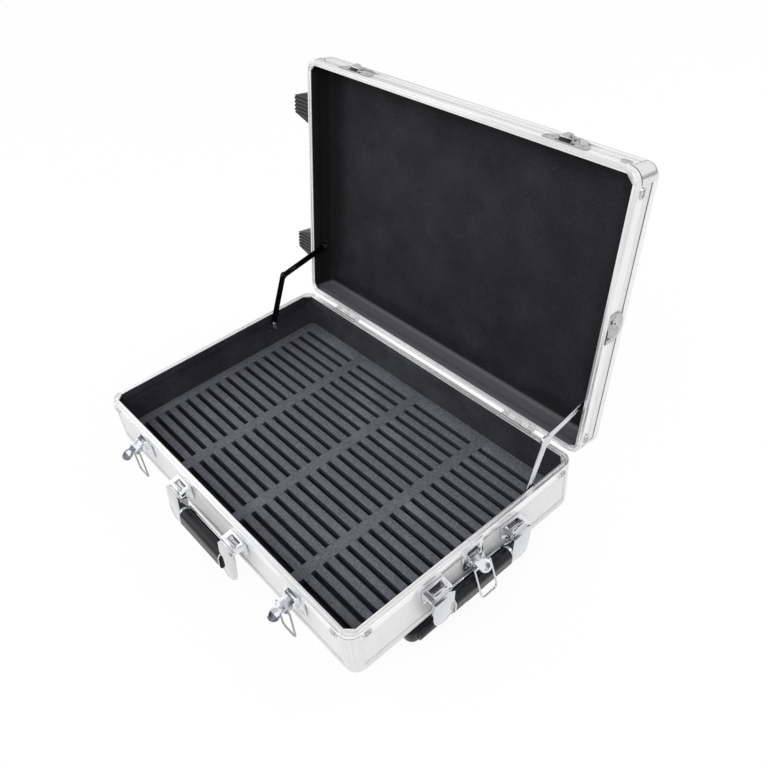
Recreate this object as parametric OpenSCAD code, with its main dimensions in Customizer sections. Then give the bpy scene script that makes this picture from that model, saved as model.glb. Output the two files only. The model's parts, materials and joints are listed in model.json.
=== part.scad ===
// Aluminium sample case on two wheels, with its lid open: a base with a slotted
// foam tray, a hinged lid on two folding stays, three draw latches, two carry
// handles and a telescopic pull handle under the floor.
// Origin: under the middle of the base, on the ground the case lies on. X runs left to
// right, Y front to back.

/* [Shell] */
// Outside length of the case, left to right
case_l = 492; // [470:1:560]
// Outside width of the case, front to back
case_w = 327; // [320:1:380]
// Height of the base, from its underside to its rim
base_h = 72; // [66:1:100]
// Depth of the lid, from its rim to its outer face
lid_h = 41; // [40:1:60]
// Radius of the upright corners
corner_r = 15; // [15:0.5:18]
// Radius of the long edges round the base's underside
base_edge_r = 13; // [10:0.5:14]
// Radius of the long edges round the lid's outer face
lid_edge_r = 14; // [10:0.5:14]
// Thickness of the faced wall boards
panel_t = 3; // [2:0.25:4]
// Thickness of the aluminium lips over the boards
skin_t = 1.2; // [1:0.1:1.5]
// Thickness of the corner mouldings
corner_t = 2.4; // [2:0.1:3]
// Width of the rim, from the outside to the opening
rim_w = 7; // [7:0.25:9]
// Height of the rim extrusion on the walls
rim_h = 12; // [10:0.5:14]
// Thickness of the lining
lining_t = 1.5; // [1:0.1:1.6]

/* [Lid] */
// How far the lid stands open
lid_open = 98.62; // [90:0.01:105]
// Gap between the two rims when the case is shut
rim_gap = 0.4; // [0.3:0.05:0.8]
// Distance of the hinge pins behind the back wall
hinge_out = 2.3; // [2.3:0.05:3]
// Distance of the hinge pins below the base's rim
hinge_drop = 2.33; // [2.3:0.05:3]
// Length of one hinge
hinge_l = 48; // [40:1:60]
// Distance of the hinges from the middle of the case
hinge_x = 160; // [120:1:180]

/* [Foam tray] */
// Length of one tile slot
slot_l = 102; // [90:0.5:104]
// Width of one tile slot
slot_w = 6.4; // [5:0.1:8]
// Depth of the tile slots
slot_d = 13; // [8:0.5:13]
// Distance from one slot to the next in a column
slot_pitch = 16.1; // [14:0.1:16.3]
// Distance from one column of slots to the next
column_pitch = 117; // [112:0.5:120]
// Height of the tray's top face above the underside of the base
tray_top = 21; // [21:0.5:30]

/* [Latches] */
// Distance of the front latches from the middle of the case
latch_x = 157; // [120:1:170]
// Width of a front latch plate
latch_w = 38; // [32:1:44]
// Width of the side latch plate
side_latch_w = 30; // [28:1:34]
// Height of a latch plate
latch_plate_h = 37; // [34:0.5:40]
// Reach of a front latch lever from its pin
lever_l = 28; // [24:0.5:30]
// Reach of the side latch lever from its pin
side_lever_l = 19.5; // [17:0.5:21]
// Length of a front latch bail
bail_l = 42; // [38:0.5:44]
// Length of the side latch bail
side_bail_l = 38.5; // [36:0.5:41]
// Distance between the two wires of a bail
bail_w = 22.8; // [22.5:0.1:26]
// Diameter of the bail wire
wire_d = 2.2; // [1.8:0.1:2.4]

/* [Carry handles] */
// Distance between the two brackets of a handle
bracket_gap = 114; // [106:1:130]
// Depth of a bracket out from the wall
bracket_d = 14; // [13.5:0.5:14.5]
// Width of a handle arm
arm_w = 27; // [26:0.5:28.5]
// Length of a handle arm
arm_l = 50; // [46:0.5:52]
// Thickness of the grip
grip_t = 15; // [13:0.5:15]
// Height of the grip
grip_h = 25.5; // [22:0.5:26]

/* [Wheels and pull handle] */
// Height of the underside above the ground
ground_gap = 20; // [18:0.5:26]
// Distance of the wheels and standing feet from the middle
wheel_y = 97.5; // [95:0.5:115]
// Diameter of a wheel
wheel_d = 37; // [34:0.5:38]
// Width of a wheel
wheel_w = 18; // [16:0.5:20]
// Reach of the wheels and standing feet from the left wall
foot_l = 38; // [38:0.5:44]
// Distance of the pull handle's tubes from the middle
tube_y = 71; // [60:0.5:71]
// Width of an outer tube
tube_w = 24; // [20:0.5:24]
// Height of an outer tube
tube_h = 16; // [15:0.5:17]
// Wall of the tubes
tube_t = 1.1; // [1:0.1:1.3]
// Gap between the ends of the outer tubes and the right wall
tube_gap = 32; // [30:1:92]
// Width of the pull handle's grip
pull_w = 181; // [170:1:200]

/* [Hidden] */
$fn = 48;

// Small distance that carries a cut past a face
over = 1;
// Play between pieces that slide or turn past each other
play = 0.3;
// Play between a pin and its bore
pin_play = 0.06;
FRONT = 0;
RIGHT = 1;
BACK = 2;
LEFT = 3;

wall_t = skin_t + panel_t;
lip_l = 4;
flange_t = 2.8;
groove_r = 2.8;
groove_w = 1.8;
groove_d = 1.6;
tongue_h = 1.2;
lining_r = wall_t + 0.1;
open_l = case_l - 2 * rim_w;
open_w = case_w - 2 * rim_w;
open_r = corner_r - rim_w;
lid_rim_z = base_h + rim_gap;
lid_top_z = lid_rim_z + lid_h;

hinge_y = case_w / 2 + hinge_out;
hinge_z = base_h - hinge_drop;

stay_x = open_l / 2 - 1.1;
stay_t = 1.4;
stay_w = 9;
stay_pin_r = 2;
stay_foot_in = 76.35;
stay_foot_drop = 13.17;
stay_head_in = 71.85;
stay_head_rise = 20.33;
stay_foot = [hinge_y - stay_foot_in, hinge_z - stay_foot_drop];
stay_head = [hinge_y - stay_head_in, hinge_z + stay_head_rise];
stay_cap_r = 3.2;
stay_head_open = turned(stay_head, [hinge_y, hinge_z], -lid_open);
stay_elbow = stay_foot + stay_head_open - [hinge_y, hinge_z];

lever_pin = [5, base_h - 20];
lever_droop = 14.5;
lever_pin_r = 1.5;
lever_w = 15;
bail_seat = [10, -0.5];
bail_pin = lever_pin + lever_dir(bail_seat);
side_bail_tilt = 15.5;
hook_n = 7;
shut_turn = 72.5;
shut_bail_pin = lever_pin + turned(lever_dir(bail_seat), [0, 0], -shut_turn);

arm_pin = [12, base_h - 17];
arm_pin_r = 2.2;
arm_t = 4.5;
arm_in = 2.8;
arm_rise = -1.8;
grip_at = [2, -34];
front_hang = 6;
side_hang = -6;
window_w = 17;
bracket_w = arm_w + 2;

axle_r = 3;
axle_x = -case_l / 2 - foot_l + wheel_d / 2;
axle_z = -ground_gap + wheel_d / 2;
tube_x = -case_l / 2 + 20;
tube_l = case_l / 2 - tube_gap - tube_x;
tube_play = 0.5;
mid_in = 1.5;
inner_in = 3;
pull_gap = 12;
pull_socket = 6;
pull_x = tube_x + tube_l + pull_gap;
pull_d = 24;
pull_h = 14;
pull_top = -2;

silver = [0.86, 0.87, 0.88];
chrome = [0.75, 0.77, 0.8];
panel_white = [0.93, 0.94, 0.95];
charcoal = [0.13, 0.13, 0.14];
foam_grey = [0.33, 0.34, 0.38];
black = [0.06, 0.06, 0.07];

// Lifts what is drawn above the base's underside to its height above the ground
module raised() {
    translate([0, 0, ground_gap]) children();
}
// Point p turned by angle a about point c, in a plane
function turned(p, c, a) = c + [(p.x - c.x) * cos(a) - (p.y - c.y) * sin(a),
                                (p.x - c.x) * sin(a) + (p.y - c.y) * cos(a)];
// A point given along and across an open lever, as outward and upward distances
function lever_dir(p) = [p.x * cos(lever_droop) + p.y * sin(lever_droop),
                         -p.x * sin(lever_droop) + p.y * cos(lever_droop)];
// Height at which the bar of a closed bail of length l lies
function hook_z(l) = shut_bail_pin.y + sqrt(l * l - pow(hook_n - shut_bail_pin.x, 2));
function side_off(i) = (i % 2 == 0 ? case_w : case_l) / 2;
function side_len(i) = (i % 2 == 0 ? case_l : case_w) - 2 * corner_r;

// On wall i: x along the wall, y inward from its outer face, z up
module at_side(i) {
    rotate([0, 0, 90 * i]) translate([0, -side_off(i), 0]) children();
}
module at_corners() {
    for (k = [0:3]) {
        sx = (k == 0 || k == 3) ? 1 : -1;
        sy = k < 2 ? 1 : -1;
        translate([sx * (case_l / 2 - corner_r), sy * (case_w / 2 - corner_r), 0])
            rotate([0, 0, 90 * k]) children();
    }
}
// Lid pieces are drawn shut and upside down, with z = 0 on the lid's outer face
module as_lid() {
    opened() translate([0, 0, lid_top_z]) mirror([0, 0, 1]) children();
}
// Swings what is drawn on the shut lid up to where the lid stands open
module opened() {
    translate([0, hinge_y, hinge_z]) rotate([-lid_open, 0, 0]) translate([0, -hinge_y, -hinge_z]) children();
}
// Bar along x whose section is drawn as inward distance and height
module bar(l) {
    rotate([90, 0, 90]) linear_extrude(l, center = true) children();
}
// Slab from u0 to u1 along a wall whose section is drawn as outward distance and height
module slab(u0, u1) {
    translate([u0, 0, 0]) rotate([90, 0, 90]) linear_extrude(u1 - u0) mirror([1, 0]) children();
}
// Sheet of thickness t standing on the outside of a wall, drawn as seen from outside
module sheet(t) {
    rotate([90, 0, 0]) linear_extrude(t) children();
}
module rod(u0, u1, n, z, r) {
    translate([u0, -n, z]) rotate([0, 90, 0]) cylinder(h = u1 - u0, r = r);
}
module rounded(l, w, r) {
    square([l - 2 * r, w], center = true);
    square([l, w - 2 * r], center = true);
    for (x = [-1, 1], y = [-1, 1]) translate([x * (l / 2 - r), y * (w / 2 - r)]) circle(r);
}

// Shell pieces, for a half of height h with outer edges of radius er
module rim_section(h, tongue) {
    difference() {
        translate([0, h - rim_h]) square([rim_w, rim_h]);
        translate([skin_t, h - rim_h - over]) square([rim_w - 2 * skin_t, rim_h - flange_t + over]);
        if (!tongue) translate([groove_r, h - groove_d]) square([groove_w, groove_d + over]);
    }
    if (tongue) translate([groove_r + play, h - over]) square([groove_w - 2 * play, tongue_h + over]);
}
module edge_section(er) {
    intersection() {
        square(er);
        difference() {
            translate([er, er]) circle(er);
            translate([er, er]) circle(er - wall_t);
        }
    }
    translate([0, er]) square([skin_t, lip_l]);
    translate([er, 0]) square([lip_l, skin_t]);
}
module quarter_block(w, h, r) {
    intersection() {
        translate([r, r]) circle(r);
        square(r);
    }
    translate([r, 0]) square([w - r, h]);
    translate([0, r]) square([w, h - r]);
}
module corner_section(h, er, tongue) {
    difference() {
        union() {
            difference() {
                quarter_block(corner_r, h, er);
                translate([corner_t, corner_t]) quarter_block(corner_r - corner_t, h, er - corner_t);
            }
            translate([0, h - flange_t]) square([rim_w, flange_t]);
        }
        if (!tongue) translate([groove_r, h - groove_d]) square([groove_w, groove_d + over]);
    }
    if (tongue) translate([groove_r + play, h - over]) square([groove_w - 2 * play, tongue_h + over]);
}
module shell_rim(h, tongue) {
    for (i = [0:3]) at_side(i) bar(side_len(i)) rim_section(h, tongue);
}
module shell_edges(er) {
    for (i = [0:3]) at_side(i) bar(side_len(i)) edge_section(er);
}
module shell_corners(h, er, tongue) {
    at_corners() rotate_extrude(angle = 90) translate([corner_r, 0]) mirror([1, 0])
        corner_section(h, er, tongue);
}
module shell_panel(i, h, er) {
    l = side_len(i);
    at_side(i) translate([-l / 2, skin_t, er]) cube([l, panel_t, h - flange_t - er]);
}
module shell_floor(er) {
    translate([0, 0, skin_t]) linear_extrude(panel_t) {
        square([case_l - 2 * er, case_w - 2 * corner_r], center = true);
        square([case_l - 2 * corner_r, case_w - 2 * er], center = true);
    }
}
// Section of the formed lining: wall, rounded fold and the edge of its floor
module lining_section(h, er) {
    translate([lining_r, er]) square([lining_t, h - flange_t - er]);
    intersection() {
        square(er);
        difference() {
            translate([er, er]) circle(er - lining_r);
            translate([er, er]) circle(er - lining_r - lining_t);
        }
    }
    translate([er, lining_r]) square([corner_r - er, lining_t]);
}
module shell_lining(h, er) {
    for (i = [0:3]) at_side(i) bar(side_len(i)) lining_section(h, er);
    at_corners() rotate_extrude(angle = 90) translate([corner_r, 0]) mirror([1, 0]) lining_section(h, er);
    translate([0, 0, lining_r]) linear_extrude(lining_t)
        square([case_l - 2 * corner_r, case_w - 2 * corner_r], center = true);
}
// Chrome plate with a screw across the inside of each rim corner
clip_l = 8;
clip_t = 2;
module shell_clips(h) {
    for (k = [0:3]) {
        sx = (k == 0 || k == 3) ? 1 : -1;
        sy = k < 2 ? 1 : -1;
        difference() {
            translate([0, 0, h - clip_t - rim_gap / 2]) linear_extrude(clip_t) intersection() {
                rounded(open_l, open_w, open_r);
                translate([sx * open_l / 2, sy * open_w / 2])
                    polygon([[0, 0], [-sx * clip_l, 0], [0, -sy * clip_l]]);
            }
            translate([sx * (open_l / 2 - 3), sy * (open_w / 2 - 3), h - rim_gap / 2 - 0.8])
                cylinder(h = over, r = 0.9);
        }
    }
}

// Base shell
module base_floor() {
    color(panel_white) raised() shell_floor(base_edge_r);
}
module base_front_panel() {
    color(panel_white) raised() shell_panel(FRONT, base_h, base_edge_r);
}
module base_right_panel() {
    color(panel_white) raised() shell_panel(RIGHT, base_h, base_edge_r);
}
module base_back_panel() {
    color(panel_white) raised() shell_panel(BACK, base_h, base_edge_r);
}
module base_left_panel() {
    color(panel_white) raised() shell_panel(LEFT, base_h, base_edge_r);
}
module base_rim() {
    color(silver) raised() difference() {
        shell_rim(base_h, false);
        hinge_seats(base_h - leaf_t - play, base_h + over);
    }
}
module base_edges() {
    color(silver) raised() shell_edges(base_edge_r);
}
module base_corners() {
    color(silver) raised() shell_corners(base_h, base_edge_r, false);
}
module base_rim_clips() {
    color(chrome) raised() shell_clips(base_h);
}
module base_lining() {
    color(charcoal) raised() shell_lining(base_h, base_edge_r);
}

// Foam tray
slot_rows = floor((open_w - 20) / slot_pitch);
slot_columns = floor((open_l - 10) / column_pitch);
tray_l = case_l - 2 * (lining_r + lining_t + 0.2);
tray_w = case_w - 2 * (lining_r + lining_t + 0.2);
tray_floor = lining_r + lining_t;
slot_floor = tray_top - slot_d;
foot_inset = base_edge_r + 0.3;
module tray_base() {
    color(foam_grey) raised() translate([0, 0, tray_floor]) linear_extrude(slot_floor - tray_floor)
        square([case_l - 2 * foot_inset, case_w - 2 * foot_inset], center = true);
}
// Strip of foam whose outer edge steps in below, clear of the shell's rounded edge
module tray_strip(x0, x1, y0, y1) {
    intersection() {
        translate([x0, y0, slot_floor]) cube([x1 - x0, y1 - y0, slot_d]);
        union() {
            translate([0, 0, slot_floor]) linear_extrude(slot_d)
                square([case_l - 2 * foot_inset, case_w - 2 * foot_inset], center = true);
            translate([0, 0, base_edge_r]) linear_extrude(tray_top)
                rounded(tray_l, tray_w, corner_r - lining_r - lining_t);
        }
    }
}
module tray_bands() {
    edge = slot_columns * column_pitch / 2;
    color(foam_grey) raised() for (i = [0:slot_columns]) {
        x = i * column_pitch - edge;
        x0 = i == 0 ? -tray_l / 2 : x - (column_pitch - slot_l) / 2;
        x1 = i == slot_columns ? tray_l / 2 : x + (column_pitch - slot_l) / 2;
        tray_strip(x0, x1, -tray_w / 2, tray_w / 2);
    }
}
module tray_ribs() {
    first = -(slot_rows - 1) / 2 * slot_pitch;
    color(foam_grey) raised() for (c = [0:slot_columns - 1], i = [0:slot_rows]) {
        x = (c - (slot_columns - 1) / 2) * column_pitch;
        y = first + (i - 0.5) * slot_pitch;
        rib = (slot_pitch - slot_w) / 2;
        y0 = i == 0 ? -tray_w / 2 : y - rib;
        y1 = i == slot_rows ? tray_w / 2 : y + rib;
        tray_strip(x - slot_l / 2, x + slot_l / 2, y0, y1);
    }
}

// Hinges
leaf_t = 0.8;
leaf_w = 6;
knuckle_r = 2;
hinge_pin_r = 1;
knuckles = 5;
knuckle_l = hinge_l / knuckles;
module hinge_seats(z0, z1) {
    for (s = [-1, 1]) at_side(BACK) translate([s * hinge_x, 0, 0])
        translate([-hinge_l / 2 - play, -over, z0]) cube([hinge_l + 2 * play, leaf_w + play + over, z1 - z0]);
}
module knuckle_row(first) {
    for (i = [first:2:knuckles - 1]) translate([-hinge_l / 2 + i * knuckle_l + play / 2, 0, 0]) children();
}
module hinge_bores() {
    at_side(BACK) for (s = [-1, 1])
        rod(s * hinge_x - hinge_l / 2 - over, s * hinge_x + hinge_l / 2 + over, hinge_out, hinge_z,
            hinge_pin_r + pin_play);
}
module leaf_screws(z) {
    for (s = [-1, 0, 1]) translate([s * hinge_l / 3, leaf_w / 2, z]) cylinder(h = leaf_t + over, r = 1.1);
}
module hinge_base_leaves() {
    l = knuckle_l - play;
    color(chrome) raised() difference() {
        at_side(BACK) for (s = [-1, 1]) translate([s * hinge_x, 0, 0]) {
            difference() {
                translate([-hinge_l / 2, 0, base_h - leaf_t - play]) cube([hinge_l, leaf_w, leaf_t]);
                leaf_screws(base_h - leaf_t / 2 - play);
            }
            knuckle_row(0) {
                rod(0, l, hinge_out, hinge_z, knuckle_r);
                translate([0, -hinge_out, base_h - leaf_t - play]) cube([l, hinge_out + over, leaf_t]);
            }
        }
        hinge_bores();
    }
}
module hinge_lid_leaves() {
    l = knuckle_l - play;
    low = 0.1;
    color(chrome) raised() opened() difference() {
        at_side(BACK) for (s = [-1, 1]) translate([s * hinge_x, 0, 0]) {
            difference() {
                translate([-hinge_l / 2, -hinge_out, base_h + low])
                    cube([hinge_l, leaf_w + hinge_out, leaf_t]);
                leaf_screws(base_h + low - over);
            }
            knuckle_row(1) {
                rod(0, l, hinge_out, hinge_z, knuckle_r);
                translate([0, -hinge_out - knuckle_r / 2, hinge_z + knuckle_r / 2])
                    cube([l, knuckle_r / 2 + hinge_out - 0.4, base_h + low + leaf_t - hinge_z - knuckle_r / 2]);
            }
        }
        hinge_bores();
    }
}
module hinge_pins() {
    color(chrome) raised() at_side(BACK) for (s = [-1, 1])
        rod(s * hinge_x - hinge_l / 2 - 0.4, s * hinge_x + hinge_l / 2 + 0.4, hinge_out, hinge_z, hinge_pin_r);
}

// Draw latches
ear_t = 1.5;
ear_r = 3.6;
ear_in = lever_w / 2 + play + 0.1;
plate_t = 1.2;
module latch_plate(w) {
    top = base_h - 0.8;
    low = top - latch_plate_h;
    difference() {
        sheet(plate_t) {
            translate([-w / 2, low + 6]) square([w, latch_plate_h - 6]);
            for (s = [-1, 1]) translate([s * (w / 2 - 6), low + 6]) circle(6);
            translate([-w / 2 + 6, low]) square([w - 12, 6]);
        }
        sheet(plate_t + over) translate([-lever_w / 2, lever_pin.y + 5]) square([lever_w, 6]);
        for (s = [-1, 1]) rotate([90, 0, 0]) translate([s * (w / 2 - 4.5), low + 7, -over])
            cylinder(h = plate_t + 2 * over, r = 1.6);
    }
    for (s = [0, 1]) mirror([s, 0, 0]) slab(ear_in, ear_in + ear_t) {
        translate(lever_pin) circle(ear_r);
        translate([0, lever_pin.y - 7]) square([lever_pin.x, 14]);
        translate([lever_pin.x, lever_pin.y]) rotate(-128) square([7, ear_r]);
    }
    rod(-ear_in - ear_t - play, ear_in + ear_t + play, lever_pin.x, lever_pin.y, lever_pin_r);
}
module latch_plates() {
    color(chrome) raised() {
        for (s = [-1, 1]) at_side(FRONT) translate([s * latch_x, 0, 0]) latch_plate(latch_w);
        at_side(RIGHT) latch_plate(side_latch_w);
    }
}
// Lever: a cap with two cheeks over the pin, and a round dished thumb tab
tab_r = 7.6;
tab_t = 2.2;
tab_low = 0.6;
tab_tilt = 9;
dish_r = 18;
dish_d = 0.9;
module lever(l) {
    translate([0, -lever_pin.x, lever_pin.y]) rotate([lever_droop, 0, 0]) difference() {
        union() {
            slab(-lever_w / 2, lever_w / 2)
                polygon([[-2.6, 1.2], [-1.2, 3.9], [11, 3.9], [13.4, 2.6], [13.4, 0.8], [11.4, 2.4],
                         [-0.8, 2.4], [-1.6, 1]]);
            for (s = [0, 1]) mirror([s, 0, 0]) slab(lever_w / 2 - 1.2, lever_w / 2) {
                circle(3);
                polygon([[-2.4, 0], [-1.2, 3.5], [bail_seat.x + 1.5, 3.5], [bail_seat.x + 3, 1],
                         [bail_seat.x + 2, -2.6], [0, -2.9]]);
            }
            translate([0, tab_r - l, tab_low]) rotate([tab_tilt, 0, 0]) {
                cylinder(h = tab_t, r = tab_r);
                translate([-tab_r + 2.4, 0, 0]) cube([2 * tab_r - 4.8, l - tab_r - 9, tab_t]);
            }
        }
        translate([0, tab_r - l, tab_low]) rotate([tab_tilt, 0, 0]) translate([0, 0, tab_t + dish_r - dish_d])
            sphere(dish_r, $fn = 96);
        rod(-lever_w, lever_w, 0, 0, lever_pin_r + pin_play);
        rod(-lever_w, lever_w, bail_seat.x, bail_seat.y, wire_d / 2 + pin_play);
    }
}
module front_left_lever() {
    color(chrome) raised() at_side(FRONT) translate([-latch_x, 0, 0]) lever(lever_l);
}
module front_right_lever() {
    color(chrome) raised() at_side(FRONT) translate([latch_x, 0, 0]) lever(lever_l);
}
module side_lever() {
    color(chrome) raised() at_side(RIGHT) lever(side_lever_l);
}
bail_corner = 5;
module bail(l, tilt) {
    r = wire_d / 2;
    translate([0, -bail_pin.x, bail_pin.y]) rotate([-tilt, 0, 0]) {
        for (s = [0, 1]) mirror([s, 0, 0]) {
            translate([bail_w / 2, 0, 0]) sphere(r);
            translate([bail_w / 2, 0, bail_corner - l]) cylinder(h = l - bail_corner, r = r);
            translate([bail_w / 2 - bail_corner, 0, bail_corner - l]) rotate([90, 0, 0]) rotate([0, 0, -90])
                rotate_extrude(angle = 90) translate([bail_corner, 0]) circle(r);
            rod(lever_w / 2 - 2, bail_w / 2, 0, 0, r);
        }
        rod(bail_corner - bail_w / 2, bail_w / 2 - bail_corner, 0, -l, r);
    }
}
module front_left_bail() {
    color(chrome) raised() at_side(FRONT) translate([-latch_x, 0, 0]) bail(bail_l, 0);
}
module front_right_bail() {
    color(chrome) raised() at_side(FRONT) translate([latch_x, 0, 0]) bail(bail_l, 0);
}
module side_bail() {
    color(chrome) raised() at_side(RIGHT) bail(side_bail_l, side_bail_tilt);
}
// Arched plate on the lid with a round tongue that the bail's bar lies behind
keeper_w = 52;
side_keeper_w = 34;
keeper_h = 24;
keeper_t = 1.6;
tongue_r = 8;
module keeper(l, w) {
    low = lid_rim_z + 0.6;
    lip = hook_z(l) - wire_d / 2 - play;
    tip = hook_n + wire_d;
    difference() {
        intersection() {
            sheet(keeper_t) translate([0, low + keeper_h - w / 2 - 3])
                circle(w / 2 + 3, $fn = 96);
            sheet(keeper_t) translate([-w / 2, low]) square([w, keeper_h]);
        }
        translate([0, 0, lip + 1]) rotate([90, 0, 0]) linear_extrude(2 * over + keeper_t, center = true)
            translate([-6, 0]) square([12, 4]);
    }
    intersection() {
        slab(-tongue_r, tongue_r)
            polygon([[0, low + 1], [1.6, low + 0.4], [tip - 0.6, lip - 2], [tip, lip - 1.2],
                     [tip - 0.4, lip], [tip - 2.6, lip], [keeper_t + 0.6, low + 4.4], [0, low + 4.4]]);
        translate([0, tongue_r - tip, low]) cylinder(h = keeper_h, r = tongue_r);
    }
    for (s = [-1, 1]) translate([s * 0.35 * w, 0, low + 7]) rotate([90, 0, 0]) intersection() {
        cylinder(h = keeper_t + 1.2, r = 2.8);
        translate([0, 0, keeper_t + 1.2 - 5]) sphere(5);
    }
}
module latch_keepers() {
    color(chrome) raised() opened() {
        for (s = [-1, 1]) at_side(FRONT) translate([s * latch_x, 0, 0]) keeper(bail_l, keeper_w);
        at_side(RIGHT) keeper(side_bail_l, side_keeper_w);
    }
}

// Carry handles
module bracket() {
    difference() {
        union() {
            sheet(2) translate([-bracket_w / 2, arm_pin.y - 15]) square([bracket_w, 19.5]);
            slab(-bracket_w / 2, bracket_w / 2)
                polygon([[0, arm_pin.y + 4], [bracket_d, arm_pin.y + 1], [bracket_d, arm_pin.y - 2],
                         [bracket_d - 1.5, arm_pin.y - 3], [6, arm_pin.y - 3], [2, arm_pin.y - 8],
                             [0, arm_pin.y - 8]]);
        }
        translate([-window_w / 2, -bracket_d - over, arm_pin.y - 12])
            cube([window_w, bracket_d + over - 3, 30]);
    }
    rod(-window_w / 2 - over, window_w / 2 + over, arm_pin.x, arm_pin.y, arm_pin_r);
}
module handle_brackets() {
    for (s = [-1, 1]) translate([s * bracket_gap / 2, 0, 0]) bracket();
}
module front_handle_brackets() {
    color(chrome) raised() at_side(FRONT) handle_brackets();
}
module side_handle_brackets() {
    color(chrome) raised() at_side(RIGHT) handle_brackets();
}
// Hangs what is drawn about the arm pin at an angle out from the wall
module hung(a) {
    translate([0, -arm_pin.x, arm_pin.y]) rotate([-a, 0, 0]) children();
}
module arm() {
    tip = arm_w / 2 - 4;
    difference() {
        union() {
            translate([0, -arm_in, 0]) sheet(arm_t) {
                translate([-arm_w / 2, -arm_l + 16]) square([arm_w, arm_l - 16 + arm_rise]);
                intersection() {
                    translate([0, -arm_l + 16]) circle(arm_w / 2);
                    translate([-arm_w, -arm_l + 16 - arm_w / 2]) square([2 * arm_w, arm_w]);
                }
            }
            rod(-window_w / 2 + play, window_w / 2 - play, 0, 0, arm_pin_r + 1.6);
            translate([-window_w / 2 + play, -arm_in - over, -arm_pin_r - 1.6])
                cube([window_w - 2 * play, arm_in + over, arm_pin_r]);
        }
        rod(-arm_w, arm_w, 0, 0, arm_pin_r + pin_play);
    }
    translate([0, -arm_in, 0]) sheet(2 * over) intersection() {
        translate([0, grip_at.y]) square([arm_w - 6, grip_h + 4], center = true);
        translate([0, grip_at.y]) circle(tip + 5);
    }
}
strip_t = 2.4;
strip_y = grip_t / 2 - grip_at.x + 0.1;
module handle_arms(a) {
    reach = bracket_gap / 2 - arm_w / 2;
    hung(a) {
        for (s = [-1, 1]) translate([s * bracket_gap / 2, 0, 0]) arm();
        for (s = [-1, 1]) translate([s * (reach + 1.5) - 1.5, -arm_in - arm_t, 0]) {
            translate([0, 0, -arm_l + 8]) cube([3, arm_in + arm_t + 5, 34]);
            translate([0, 0, grip_at.y + grip_h / 2 - 9]) cube([3, arm_in + arm_t + strip_y + strip_t, 6]);
        }
        translate([-reach - over, strip_y, grip_at.y + grip_h / 2 - 9])
            cube([2 * (reach + over), strip_t, 6]);
    }
}
module handle_grip(a) {
    reach = bracket_gap / 2 - arm_w / 2;
    hung(a) slab(-reach, reach) translate(grip_at) rounded(grip_t, grip_h, grip_t / 2 - 0.01);
}
module front_handle_arms() {
    color(chrome) raised() at_side(FRONT) handle_arms(front_hang);
}
module front_handle_grip() {
    color(black) raised() at_side(FRONT) handle_grip(front_hang);
}
module side_handle_arms() {
    color(chrome) raised() at_side(RIGHT) handle_arms(side_hang);
}
module side_handle_grip() {
    color(black) raised() at_side(RIGHT) handle_grip(side_hang);
}

// Folding stays, one at each end of the lid
module stay_plane(s, x) {
    translate([s * x, 0, 0]) mirror([s > 0 ? 1 : 0, 0, 0]) rotate([90, 0, 90]) children();
}
// Strap from a to b with rounded ends, bored at the start and, if asked, at the end
module strap(a, b, t, end_bore) {
    d = b - a;
    translate(a) rotate(atan2(d.y, d.x)) linear_extrude(t) difference() {
        union() {
            circle(stay_w / 2);
            translate([norm(d), 0]) circle(stay_w / 2);
            translate([0, -stay_w / 2]) square([norm(d), stay_w]);
        }
        circle(stay_pin_r + pin_play);
        if (end_bore) translate([norm(d), 0]) circle(stay_pin_r + pin_play);
    }
}
module stay_post(s, at, base_t, foot_r) {
    lining_x = case_l / 2 - lining_r - lining_t;
    depth = lining_x - stay_x + 2 * stay_t + play;
    stay_plane(s, lining_x) translate(at) {
        cylinder(h = base_t, r = foot_r);
        cylinder(h = depth + 0.9, r = stay_pin_r);
    }
}
module stay_base_plates() {
    color(chrome) raised() for (s = [-1, 1]) {
        stay_post(s, stay_foot, 1, 3);
        stay_plane(s, case_l / 2 - lining_r - lining_t) translate([stay_foot.x - 5, stay_foot.y - 14])
            cube([10, 17, 1]);
        stay_plane(s, stay_x - stay_t - play) translate(stay_foot) cylinder(h = 1.2, r = stay_cap_r);
    }
}
module stay_lid_plates() {
    color(chrome) raised() opened() for (s = [-1, 1]) {
        stay_post(s, stay_head, 1, 5);
        stay_plane(s, case_l / 2 - lining_r - lining_t) translate([stay_head.x - 5, stay_head.y])
            cube([10, 8.5, 1]);
        stay_plane(s, stay_x - 2 * stay_t - play - 0.1) translate(stay_head)
            cylinder(h = 1.2, r = stay_cap_r);
    }
}
module lower_stay(s) {
    color(chrome) raised() {
        stay_plane(s, stay_x) {
            strap(stay_foot, stay_elbow, stay_t, false);
            translate(stay_elbow) cylinder(h = 2 * stay_t + play + 1, r = stay_pin_r);
        }
        stay_plane(s, stay_x - 2 * stay_t - play - 0.1) translate(stay_elbow) cylinder(h = 1, r = stay_w / 2);
    }
}
module upper_stay(s) {
    color(chrome) raised() stay_plane(s, stay_x - stay_t - play)
        strap(stay_elbow, stay_head_open, stay_t, true);
}
module left_lower_stay() {
    lower_stay(-1);
}
module left_upper_stay() {
    upper_stay(-1);
}
module right_lower_stay() {
    lower_stay(1);
}
module right_upper_stay() {
    upper_stay(1);
}

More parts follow.
